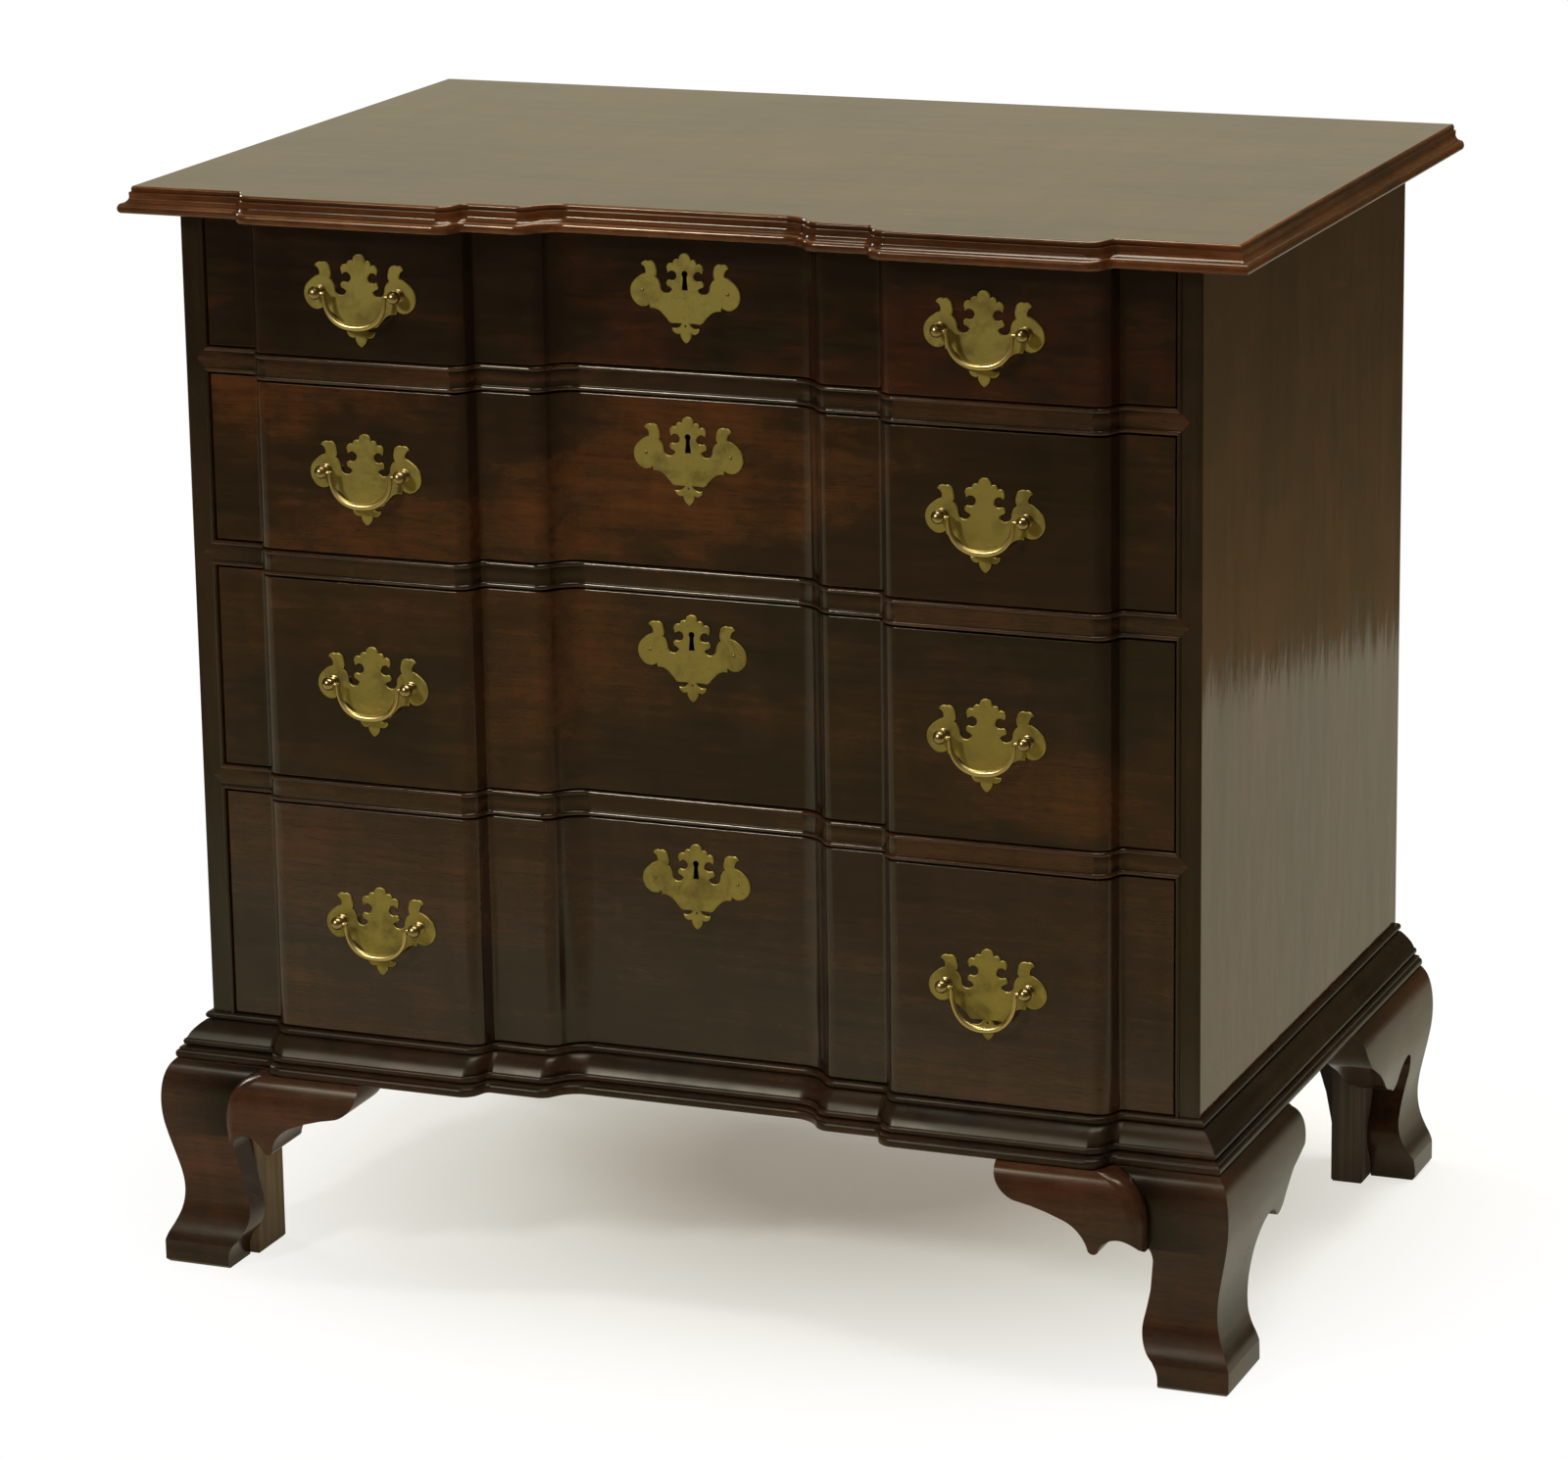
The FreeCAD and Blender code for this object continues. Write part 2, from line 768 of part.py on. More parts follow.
def pull_height(number):
    z0 = opening_floor(number)
    return z0 + drawer_openings[number - 1] / 2 + pull_raise


def escutcheon_height(number):
    return opening_floor(number) + drawer_openings[number - 1] - escutcheon_drop


def drawer_bottom_board(number):
    z0, z1 = bottom_span(number)
    x_end = box_inner() + groove_depth
    return block(-x_end, x_end, front_back_face - groove_depth, drawer_rear, z0, z1)


def drawer_side_board(number):
    """Right-hand side: tails into the front and through the back, grooved for the bottom."""
    z0, z1 = side_span(number)
    rear = drawer_rear - drawer_back
    board = block(box_inner(), box_outer(), front_back_face, rear, z0, z1)
    for tail in tail_shapes(number, front_back_face, front_back_face - tail_length):
        board = board.fuse(tail)
    for tail in tail_shapes(number, rear, drawer_rear):
        board = board.fuse(tail)
    return one_solid(board.cut(drawer_bottom_board(number)))


def drawer_back_board(number):
    z1 = side_span(number)[1]
    z0 = bottom_span(number)[1]
    rear = drawer_rear - drawer_back
    board = block(-box_outer(), box_outer(), rear, drawer_rear, z0, z1)
    for tail in tail_shapes(number, rear, drawer_rear):
        board = board.cut(tail).cut(mirrored(tail))
    return one_solid(board)


def drawer_front(number):
    """Blocked front, cut for the tails, bottom, lock, keyhole and post shanks."""
    z0 = opening_floor(number) + front_bottom_gap
    z1 = opening_floor(number) + drawer_openings[number - 1] - front_top_gap
    front = blocked_board(front_back_face, z0, z1, box_outer())
    for tail in tail_shapes(number, front_back_face, front_back_face - tail_length):
        front = front.cut(tail).cut(mirrored(tail))
    front = front.cut(drawer_bottom_board(number))
    for cutter in [lock_space(number), keyhole_cutter(number)]:
        front = front.cut(cutter)
    for x in post_places():
        front = front.cut(shank(x, pull_height(number)))
    return one_solid(front)


# --- Locks ----------------------------------------------------------------------

def lock_top(number):
    return opening_floor(number) + drawer_openings[number - 1] - front_top_gap


def lock_space(number):
    """Pocket for the lock in the back and top edge of the drawer front."""
    top = lock_top(number)
    w = lock_width / 2
    return block(-w, w, front_back_face - lock_thickness, front_back_face, top - lock_height, top)


def bolt_front():
    """Front face of the bolt, which stands in the middle of the lock's thickness."""
    return front_back_face - (lock_thickness + bolt_thickness) / 2


def bolt_box(number, spare):
    """The bolt's space, larger all round by spare."""
    top = lock_top(number)
    y0 = bolt_front()
    w = bolt_width / 2 + spare
    return block(-w, w, y0 - spare, y0 + bolt_thickness + spare, top - bolt_height - spare, top)


def bolt_mortise(number):
    """Slot that the bolt of drawer `number` shoots into, in the piece above it."""
    low = opening_floor(number) + drawer_openings[number - 1]
    y0 = bolt_front()
    spare = mortise_clearance
    w = bolt_width / 2 + spare
    return block(-w, w, y0 - spare, y0 + bolt_thickness + spare, low, low + bolt_travel + spare)


def drawer_lock(number):
    body = lock_space(number).cut(bolt_box(number, bolt_clearance))
    return one_solid(body.cut(keyhole_cutter(number)))


def drawer_bolt(number):
    return bolt_box(number, 0.0)


# --- Brasses --------------------------------------------------------------------

# Right half of the batwing plate, as (across, up) from the line of the posts.
plate_half = [
    (0.0, 28.7), (4.2, 26.4), (5.0, 23.6), (13.2, 19.8), (14.8, 16.2), (14.0, 13.6),
    (9.0, 11.9), (9.9, 8.6), (14.2, 7.2), (14.6, 4.0), (10.9, 1.0), (15.6, -1.8), (19.4, 0.6),
    (24.2, 10.0), (24.6, 19.0), (30.4, 21.4), (36.2, 18.9), (32.8, 12.4), (43.7, 4.3),
    (44.4, -4.4), (38.9, -12.8), (30.1, -11.7), (29.0, -14.6), (20.4, -17.2), (15.0, -22.8),
    (9.9, -25.4), (4.6, -25.4), (11.4, -28.8), (9.0, -32.4), (4.7, -33.2), (0.0, -40.6)]


def plate(x, y_back, z, scale):
    """One batwing plate, its two halves mirrored about its middle."""
    corners = plate_half + [(-u, v) for u, v in reversed(plate_half[1:-1])]
    face = flat([Vector(x + u * scale, y_back, z + v * scale) for u, v in corners])
    return face.extrude(Vector(0, -plate_thickness, 0))


def keyhole_cutter(number):
    """Round eye with a slot below it, run through the plate and into the lock."""
    eye = escutcheon_height(number) + keyhole_raise
    y0 = recess_depth - plate_thickness
    length = bolt_front() - bolt_clearance - keyhole_backing - y0
    eye_ring = ring(Vector(0, y0, eye), keyhole_radius, Vector(1, 0, 0), Vector(0, 0, 1))
    slot = block(-keyhole_slot / 2, keyhole_slot / 2, y0, y0 + length, eye - keyhole_drop, eye)
    return flat(eye_ring).extrude(Vector(0, length, 0)).fuse(slot)


def post_places():
    """The four x positions of the posts on one drawer."""
    w = post_spacing / 2
    return [middle + hand * w for middle in (-pull_middle(), pull_middle()) for hand in (-1, 1)]


def drawer_brasses(number):
    """Two pull plates, bored for the posts, and the keyhole escutcheon between them."""
    z = pull_height(number)
    plates = []
    for side in (-1, 1):
        pull = plate(side * pull_middle(), -block_rise, z, 1.0)
        for x in post_places():
            pull = pull.cut(shank(x, z))
        plates.append(one_solid(pull))
    escutcheon = plate(0, recess_depth, escutcheon_height(number), escutcheon_scale)
    plates.append(one_solid(escutcheon.cut(keyhole_cutter(number))))
    return plates


def handle_axis_y():
    return plate_face() - bail_stand


def plate_face():
    """Front of the pull plates, on which the posts stand."""
    return -block_rise - plate_thickness


def shank(x, z):
    """Square shank of a post, from the face of its plate to the outside of its nut."""
    w = shank_width / 2
    face = plate_face()
    return block(x - w, x + w, face, front_back_face + nut_thickness, z - w, z + w)


def post_head(x, z, inward):
    """Turned head of a post: collar, neck and ball, drilled from the side that faces the bail."""
    profile = [(collar_radius, 0.0), (neck_radius, collar_thickness)]
    for turn in (-ball_cut_angle, 0.0, ball_cut_angle):
        out = bail_stand + ball_radius * math.sin(math.radians(turn))
        profile.append((ball_radius * math.cos(math.radians(turn)), out))
    rings = []
    for radius, out in profile:
        rings.append(ring(Vector(x, plate_face() - out, z), radius, Vector(1, 0, 0), Vector(0, 0, 1)))
    hole_radius = (bail_pin_radius + bail_pin_clearance) / math.cos(math.pi / round_sides)
    start = Vector(x + inward * 2 * ball_radius, handle_axis_y(), z)
    mouth = ring(start, hole_radius, Vector(0, 1, 0), Vector(0, 0, 1))
    depth = 2 * ball_radius + pin_reach + bail_end_gap
    return ring_solid(rings).cut(flat(mouth).extrude(Vector(-inward * depth, 0, 0)))


def handle_post(x, z, inward):
    """Post with its shank through the drawer front and its nut screwed up tight behind."""
    back = front_back_face + nut_thickness
    w = nut_width / 2
    nut = block(x - w, x + w, front_back_face, back, z - w, z + w)
    return one_solid(post_head(x, z, inward).fuse(shank(x, z)).fuse(nut))


def drawer_posts(number):
    """The posts of both handles, each pair drilled towards each other."""
    hands = zip(post_places(), (1, -1, 1, -1))
    return [handle_post(x, pull_height(number), inward) for x, inward in hands]


def bail_path(drop):
    """Centre line of a bail as (across, up, radius), from one pin end to the other."""
    shoulder = post_spacing / 2 - ball_radius - bail_end_gap
    arm = shoulder - bail_end_radius
    power = 2 / bail_fullness
    pin = [(-post_spacing / 2 - pin_reach, 0.0, bail_pin_radius), (-shoulder, 0.0, bail_pin_radius)]
    curve = []
    for step in range(bail_steps + 1):
        angle = math.pi * step / bail_steps
        across = -arm * math.copysign(abs(math.cos(angle)) ** power, math.cos(angle))
        up = -drop * math.sin(angle) ** power
        swell = (bail_middle_radius - bail_end_radius) * math.sin(angle)
        curve.append((across, up, bail_end_radius + swell))
    return pin + curve + [(-u, v, r) for u, v, r in reversed(pin)]


def drawer_bail(number, side):
    """Drooping handle, thick in the middle, whose turned-out ends pivot in the posts."""
    drop = long_bail_drop if (number == 4 and side > 0) else bail_drop
    path = bail_path(drop)
    origin = Vector(side * pull_middle(), handle_axis_y(), pull_height(number))
    rings = []
    for index, (u, v, radius) in enumerate(path):
        before = path[max(index - 1, 0)]
        after = path[min(index + 1, len(path) - 1)]
        into = Vector(u - before[0], 0, v - before[1])
        out = Vector(after[0] - u, 0, after[1] - v)
        into = into.normalize() if into.Length > 0 else out.normalize()
        out = out.normalize() if out.Length > 0 else into
        along = (into + out).normalize()
        across = along.cross(Vector(0, 1, 0))
        stretch = 1 / max(along.dot(into), 0.7)
        rings.append(ring(origin + Vector(u, 0, v), radius, across, Vector(0, 1, 0), stretch))
    return one_solid(ring_solid(rings))


# --- The nodes ------------------------------------------------------------------

os.makedirs("parts", exist_ok=True)

save("top_board", [top_board()])
save("side_left", [side_board(-1)])
save("side_right", [side_board(1)])
save("bottom_board", [bottom_board()])
save("back_boards", back_boards())
save("blade_upper", [blade(1)])
save("blade_middle", [blade(2)])
save("blade_lower", [blade(3)])
save("drawer_runners", runner_rails())
save("base_mould_front", [base_mould_front()])
save("base_mould_left", [base_mould_side(-1)])
save("base_mould_right", [base_mould_side(1)])
save("foot_front_left", foot_front(-1))
save("foot_front_right", foot_front(1))
save("foot_back_left", foot_back(-1))
save("foot_back_right", foot_back(1))
save("foot_blocks", foot_blocks())

for number in drawer_numbers:
    name = "drawer_" + str(number)
    right = drawer_side_board(number)
    save(name + "_front", [drawer_front(number)])
    save(name + "_sides", [mirrored(right), right])
    save(name + "_back", [drawer_back_board(number)])
    save(name + "_bottom", [drawer_bottom_board(number)])
    save(name + "_brasses", drawer_brasses(number))
    save(name + "_posts", drawer_posts(number))
    save(name + "_lock", [drawer_lock(number)])
    save(name + "_bolt", [drawer_bolt(number)])
    save(name + "_bail_left", [drawer_bail(number, -1)])
    save(name + "_bail_right", [drawer_bail(number, 1)])
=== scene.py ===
import math
import bmesh
import bpy
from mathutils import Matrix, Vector


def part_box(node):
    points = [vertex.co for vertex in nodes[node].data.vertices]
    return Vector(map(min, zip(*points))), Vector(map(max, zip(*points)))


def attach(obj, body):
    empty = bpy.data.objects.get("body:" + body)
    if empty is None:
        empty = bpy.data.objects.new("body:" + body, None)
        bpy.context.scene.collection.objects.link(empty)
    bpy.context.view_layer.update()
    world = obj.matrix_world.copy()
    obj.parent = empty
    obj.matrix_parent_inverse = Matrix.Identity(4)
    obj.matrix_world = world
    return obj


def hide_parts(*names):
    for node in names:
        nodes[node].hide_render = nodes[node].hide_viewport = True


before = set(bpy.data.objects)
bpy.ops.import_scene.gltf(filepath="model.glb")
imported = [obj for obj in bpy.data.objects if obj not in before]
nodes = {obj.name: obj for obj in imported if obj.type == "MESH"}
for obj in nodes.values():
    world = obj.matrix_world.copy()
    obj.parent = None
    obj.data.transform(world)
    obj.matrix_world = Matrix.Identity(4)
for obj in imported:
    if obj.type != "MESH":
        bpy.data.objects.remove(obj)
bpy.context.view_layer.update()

# --- Case sides ---------------------------------------------------------------
# Each side is one wide mahogany board with its grain upright. Its front edge is
# the stile beside the drawers, with a small bead planed along the openings and
# mitred to the blades, and a rabbet at the back takes the back boards.

front_thickness = 0.036
stile_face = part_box("drawer_1_lock")[1].y - front_thickness
opening_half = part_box("side_right")[0].x
case_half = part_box("side_right")[1].x
case_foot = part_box("side_right")[0].z
case_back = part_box("side_right")[1].y
rabbet_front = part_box("back_boards")[0].y
rabbet_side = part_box("back_boards")[1].x
case_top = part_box("top_board")[0].z
top_gap = 0.0015
bottom_gap = 0.001
bead_width = 0.0036
bead_rise = 0.0017
stile_skin = 0.0005
edge_ease = 0.0009
corner_steps = 3
slight_turn = math.radians(20)
broad_area = 0.0004
gentle_bend = math.radians(11.5)
hands = ((-1, "left"), (1, "right"))
drawer_numbers = (1, 2, 3, 4)
openings = []
for number in drawer_numbers:
    low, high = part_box("drawer_%d_front" % number)
    openings.append((low.z - bottom_gap, high.z + top_gap))


def eased(points, radius=edge_ease):
    """A closed outline with its sharp corners rounded."""
    made = []
    for i, point in enumerate(points):
        before, here = Vector(points[i - 1]), Vector(point)
        after = Vector(points[(i + 1) % len(points)])
        if (here - before).angle(after - here) < slight_turn:
            made.append(tuple(here))
            continue
        start = here + (before - here).normalized() * radius
        end = here + (after - here).normalized() * radius
        for step in range(corner_steps + 1):
            t = step / corner_steps
            made.append(tuple(start * (1 - t) ** 2 + here * (2 * t * (1 - t)) + end * t * t))
    return made


def half_round(low, height, rise, base=0.0, steps=10):
    """Section of a bead from its lower edge up, as (forward, height)."""
    made = []
    for step in range(steps + 1):
        angle = math.pi * step / steps
        made.append((base + rise * math.sin(angle), low + height * (0.5 - 0.5 * math.cos(angle))))
    return made


def shaped(name, points, faces):
    """A mesh object of points and faces, with every face turned outwards."""
    mesh = bpy.data.meshes.new(name)
    mesh.from_pydata(points, [], faces)
    made = bpy.data.objects.new(name, mesh)
    bpy.context.scene.collection.objects.link(made)
    bpy.context.view_layer.objects.active = made
    made.select_set(True)
    bpy.ops.object.mode_set(mode="EDIT")
    bpy.ops.mesh.select_all(action="SELECT")
    bpy.ops.mesh.normals_make_consistent(inside=False)
    bpy.ops.object.mode_set(mode="OBJECT")
    made.select_set(False)
    return made


def solid(name, runs):
    """A mesh object of closed runs, each a chain of rings of points with flat ends."""
    points, faces = [], []
    for rings in runs:
        first, size = len(points), len(rings[0])
        for ring in rings:
            points += [tuple(point) for point in ring]
        for row in range(len(rings) - 1):
            for i in range(size):
                a = first + row * size + i
                b = first + row * size + (i + 1) % size
                faces.append((a, b, b + size, a + size))
        last = first + (len(rings) - 1) * size
        faces.append(tuple(range(first + size - 1, first - 1, -1)))
        faces.append(tuple(range(last, last + size)))
    return shaped(name, points, faces)


def rub_and_shade(mesh):
    """Marks how far each point stands out, for wear, or lies in a hollow, for painted shade in the
    creases.
    """
    turn = [0.0] * len(mesh.vertices)
    broad = [False] * len(mesh.vertices)
    sides = {}
    for face in mesh.polygons:
        for key in face.edge_keys:
            sides.setdefault(key, []).append(face)
        if face.area > broad_area:
            for vertex in face.vertices:
                broad[vertex] = True
    for (a, b), faces in sides.items():
        if len(faces) != 2:
            continue
        first, second = faces
        bend = first.normal.angle(second.normal, 0.0)
        if bend < gentle_bend:
            continue
        if (second.center - first.center).dot(first.normal) > 0:
            bend = -bend
        turn[a] += bend
        turn[b] += bend
    amounts = [0.0 if flat else max(-1.0, min(0.9, bend)) for flat, bend in zip(broad, turn)]
    mesh.attributes.new("rub_and_shade", "FLOAT", "POINT").data.foreach_set("value", amounts)


def finished(made, body, material, replaced=(), sharp=35):
    """Smooths a piece, gives it its material and lets it ride on its body."""
    mesh = made.data
    rub_and_shade(mesh)
    mesh.polygons.foreach_set("use_smooth", [True] * len(mesh.polygons))
    mesh.set_sharp_from_angle(angle=math.radians(sharp))
    even = made.modifiers.new("even shading", "WEIGHTED_NORMAL")
    even.keep_sharp = True
    mesh.materials.clear()
    mesh.materials.append(material)
    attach(made, body)
    if replaced:
        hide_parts(*replaced)


def light_painted_faces(made, material, chosen):
    """Gives the chosen faces of a finished piece a second copy of its wood, lighter or darker, as painted
    light and shade.
    """
    made.data.materials.append(material)
    for face in made.data.polygons:
        if chosen(face):
            face.material_index = 1


def feed(made, inputs):
    """Sets a shader node's inputs, or links them where a socket is given."""
    for key, value in inputs.items():
        if isinstance(value, bpy.types.NodeSocket):
            made.id_data.links.new(value, made.inputs[key])
        else:
            made.inputs[key].default_value = value


def node(tree, kind, inputs, **settings):
    """A shader node with its settings made and its inputs fed."""
    made = tree.nodes.new("ShaderNode" + kind)
    for name, value in settings.items():
        setattr(made, name, value)
    feed(made, inputs)
    return made


def graded(tree, factor, stops):
    """A colour ramp of (position, colour) stops over a factor."""
    made = node(tree, "ValToRGB", {"Fac": factor})
    ramp = made.color_ramp
    while len(ramp.elements) < len(stops):
        ramp.elements.new(0.5)
    for element, (position, colour) in zip(ramp.elements, stops):
        element.position = position
        element.color = (*colour, 1.0)
    return made.outputs["Color"]


def greys(tree, factor, shades):
    """A ramp of (position, shade) stops, to darken or lighten a colour with."""
    return graded(tree, factor, [(position, (shade,) * 3) for position, shade in shades])


def blended(tree, amount, below, above, kind="MIX"):
    """Two colours mixed by an amount; each may be a value or a socket."""
    colours = {key: (*colour, 1.0) if isinstance(colour, tuple) else colour
               for key, colour in ((6, below), (7, above))}
    return node(tree, "Mix", {0: amount, **colours}, data_type="RGBA", blend_type=kind).outputs[2]


def texture(tree, place, scale, detail, roughness=0.5, distortion=0.0):
    """Noise over a place, stretched by a scale for each axis."""
    spread = node(tree, "VectorMath", {0: place, 1: scale}, operation="MULTIPLY")
    return node(tree, "TexNoise", {
        "Vector": spread.outputs[0], "Scale": 1.0, "Detail": detail, "Roughness": roughness,
        "Distortion": distortion}).outputs["Fac"]


def new_material(name):
    """A fresh material with its node tree and its surface shader."""
    made = bpy.data.materials.new(name)
    made.use_nodes = True
    return made, made.node_tree, made.node_tree.nodes["Principled BSDF"]


def placed(tree, seed):
    """The place on the piece, moved so that each board shows its own stretch of wood."""
    here = node(tree, "TexCoord", {}).outputs["Object"]
    return node(tree, "VectorMath", {0: here, 1: (seed * 1.7, seed * 2.3, seed * 3.1)}).outputs[0]


def with_grain(grain, along, across):
    """A scale for each axis: one along the grain, another across it."""
    return tuple(along if axis == grain else across for axis in "XYZ")


def mahogany(name, grain, seed, brown=(0.014, 0.0066, 0.0030), red=(0.052, 0.017, 0.0050),
             warmth=0.5, gloss=0.12, worn=(0.07, 0.026, 0.009), rubbed=0.6, sway=0.08, shine=0.5):
    """Old mahogany under dark glossy varnish, its grain along one axis."""
    made, tree, shader = new_material(name)
    place = placed(tree, seed)
    patches = texture(tree, place, with_grain(grain, 3.6, 8.0), 5.0, 0.55, 0.35)
    mottle = texture(tree, place, with_grain(grain, 26.0, 62.0), 5.0, 0.65, 0.6)
    streaks = texture(tree, place, with_grain(grain, 6.0, 160.0), 6.0, 0.62, 0.5)
    ribbon = texture(tree, place, with_grain(grain, 55.0, 7.0), 3.0, 0.5, 0.4)
    pores = texture(tree, place, with_grain(grain, 90.0, 1500.0), 2.0)
    broken = node(tree, "Math", {0: mottle, 1: 0.34, 2: -0.17}, operation="MULTIPLY_ADD").outputs[0]
    patches = node(tree, "Math", {0: patches, 1: broken}, operation="ADD").outputs[0]
    deep = tuple(0.7 * value for value in brown)
    colour = graded(tree, patches, [(0.34, deep), (0.47, brown), (0.80 - 0.16 * warmth, red)])
    for factor, share, shades in (
            (streaks, 0.65, [(0.32, 0.6), (0.52, 1.0), (0.70, 1.4)]),
            (ribbon, 0.5, [(0.35, 0.78), (0.65, 1.22)]),
            (pores, 0.5, [(0.36, 0.4), (0.46, 1.0)])):
        colour = blended(tree, share, colour, greys(tree, factor, shades), "MULTIPLY")
    out = node(tree, "Attribute", {}, attribute_name="rub_and_shade").outputs["Fac"]
    chance = texture(tree, place, (38.0, 38.0, 38.0), 5.0, 0.65)
    wear = node(tree, "Math", {0: out, 1: chance}, operation="MULTIPLY").outputs[0]
    wear = node(tree, "MapRange", {
        "Value": wear, "From Min": 0.18 / rubbed, "From Max": 0.6 / rubbed, "To Max": 0.9}).outputs[0]
    colour = blended(tree, wear, colour, worn)
    # Points in a hollow are darkened here: painted shade in the creases.
    hollow_shade = node(tree, "MapRange", {"Value": out, "From Min": -0.1, "From Max": -0.9}).outputs[0]
    colour = blended(tree, hollow_shade, colour, tuple(0.25 * value for value in brown))
    touch = texture(tree, place, (13.0, 13.0, 13.0), 5.0, 0.6)
    sheen = node(tree, "MapRange", {
        "Value": touch, "From Min": 0.3, "From Max": 0.7, "To Min": 0.8 * gloss, "To Max": 1.3 * gloss})
    fine = node(tree, "Bump", {"Height": pores, "Strength": 0.05, "Distance": 0.0003})
    swell = texture(tree, place, with_grain(grain, 9.0, 30.0), 3.0)
    wavy = node(tree, "Bump", {
        "Height": swell, "Strength": sway, "Distance": 0.004, "Normal": fine.outputs[0]})
    feed(shader, {"Base Color": colour, "Roughness": sheen.outputs[0], "Normal": wavy.outputs[0],
                  "IOR": 1.5, "Specular IOR Level": shine, "Specular Tint": (1.0, 0.93, 0.70, 1.0)})
    return made


side_wood = mahogany("mahogany_sides", "Z", 1, brown=(0.032, 0.0098, 0.0020),
                     red=(0.054, 0.0170, 0.0040), warmth=0.3, gloss=0.085, rubbed=0.3, sway=0.13)
shaded_stile_wood = mahogany("mahogany_stiles_shaded", "Z", 1, brown=(0.010, 0.0060, 0.0030),
                      red=(0.020, 0.0090, 0.0040), warmth=0.2, rubbed=0.3)


def upright_bead(side, number):
    """Half-round bead beside one opening, mitred where a blade's bead meets it."""
    low, high = openings[number - 1]
    rings = []
    for z, lean in ((low, 0.0 if number == 4 else -1.0), (high, 0.0 if number == 1 else 1.0)):
        rings.append([(side * (opening_half + across), stile_face - out, z + lean * across)
                      for out, across in half_round(0.0, bead_width, bead_rise, steps=8)])
    return rings


for side, hand in hands:
    plan = [(opening_half, stile_face), (case_half, stile_face), (case_half, case_back),
            (rabbet_side, case_back), (rabbet_side, rabbet_front), (opening_half, rabbet_front)]
    plan = eased([(side * x, y) for x, y in plan])
    board = [[(x, y, z) for x, y in plan] for z in (case_foot, case_top)]
    beads = [upright_bead(side, number) for number in drawer_numbers]
    case_side = solid("case_side_" + hand, [board] + beads)
    finished(case_side, "carcase", side_wood, ["side_" + hand])
    # The board's front faces take a much darker copy of its wood than its side: painted shade on the
    # stiles.
    light_painted_faces(case_side, shaded_stile_wood, lambda face: face.center.y < stile_face + stile_skin)

# --- Floor of the case and drawer runners ---------------------------------------
# A pine board housed between the sides carries the lowest drawer, and pine
# runners nailed to the sides carry the others. All are left rough and pale.

same_point = 0.000002
same_plane = math.radians(0.05)
square_corner = math.radians(35)


def pine(name, grain, seed, tone=(0.36, 0.215, 0.105), dark=(0.25, 0.138, 0.062)):
    """Bare old pine, planed by hand, with darker growth lines and stains."""
    made, tree, shader = new_material(name)
    place = placed(tree, seed)
    lines = texture(tree, place, with_grain(grain, 1.6, 85.0), 3.0, 0.5, 0.5)
    fibres = texture(tree, place, with_grain(grain, 16.0, 520.0), 3.0)
    dirt = texture(tree, place, (6.0, 6.0, 6.0), 4.0)
    colour = graded(tree, lines, [(0.38, dark), (0.5, tone), (0.6, dark), (0.68, tone)])
    colour = blended(tree, 0.8, colour, greys(tree, fibres, [(0.3, 0.7), (0.6, 1.1)]), "MULTIPLY")
    stain = graded(tree, dirt, [(0.38, (0.5, 0.45, 0.4)), (0.58, (1.0,) * 3)])
    colour = blended(tree, 0.75, colour, stain, "MULTIPLY")
    rough = node(tree, "Bump", {"Height": fibres, "Strength": 0.25, "Distance": 0.0008})
    feed(shader, {"Base Color": colour, "Normal": rough.outputs[0], "Roughness": 0.75})
    return made


def joined(work):
    """Joins doubled points and turns every face outwards."""
    bmesh.ops.remove_doubles(work, verts=work.verts, dist=same_point)
    bmesh.ops.recalc_face_normals(work, faces=work.faces)


def flattened(work):
    """Takes away the lines that cross flat faces."""
    bmesh.ops.dissolve_limit(work, angle_limit=same_plane, verts=work.verts, edges=work.edges)


def dress(name, body, material, ease=0.0006):
    """A piece in the plain shape of its node, with its sharp edges eased."""
    work = bmesh.new()
    work.from_mesh(nodes[name].data)
    joined(work)
    flattened(work)
    corners = [edge for edge in work.edges
               if edge.is_convex and edge.calc_face_angle(0.0) > square_corner]
    bmesh.ops.bevel(work, geom=corners, offset=ease, segments=2, affect="EDGES", clamp_overlap=True)
    work.verts.index_update()
    faces = [[vert.index for vert in face.verts] for face in work.faces]
    made = shaped(name + "_eased", [vert.co.copy() for vert in work.verts], faces)
    work.free()
    finished(made, body, material, [name])
    return made


pine_across = pine("pine_across", "X", 1)
pine_back_to_front = pine("pine_back_to_front", "Y", 2)
dress("bottom_board", "carcase", pine_across)
dress("drawer_runners", "carcase", pine_back_to_front)

# --- Blades ---------------------------------------------------------------------
# The three rails between the drawers follow the blocked front. Both edges of
# each carry a fine bead, and the ends are mitred into the beads of the stiles.

outer_strip = 0.037
inner_strip = 0.037
block_rise = 0.018
block_flank = 0.020
block_flank_angle = 70.0
block_cove = 0.0055
recess_half = 0.084
recess_depth = 0.020
recess_flank = 0.034
recess_flank_angle = 56.0
recess_lip = 0.013
inner_edge = recess_half + recess_flank
blade_depth = 0.075
blade_stand = 0.0002
bolt_room = 0.001
bolt_travel = 0.006
arc_step = 7.0


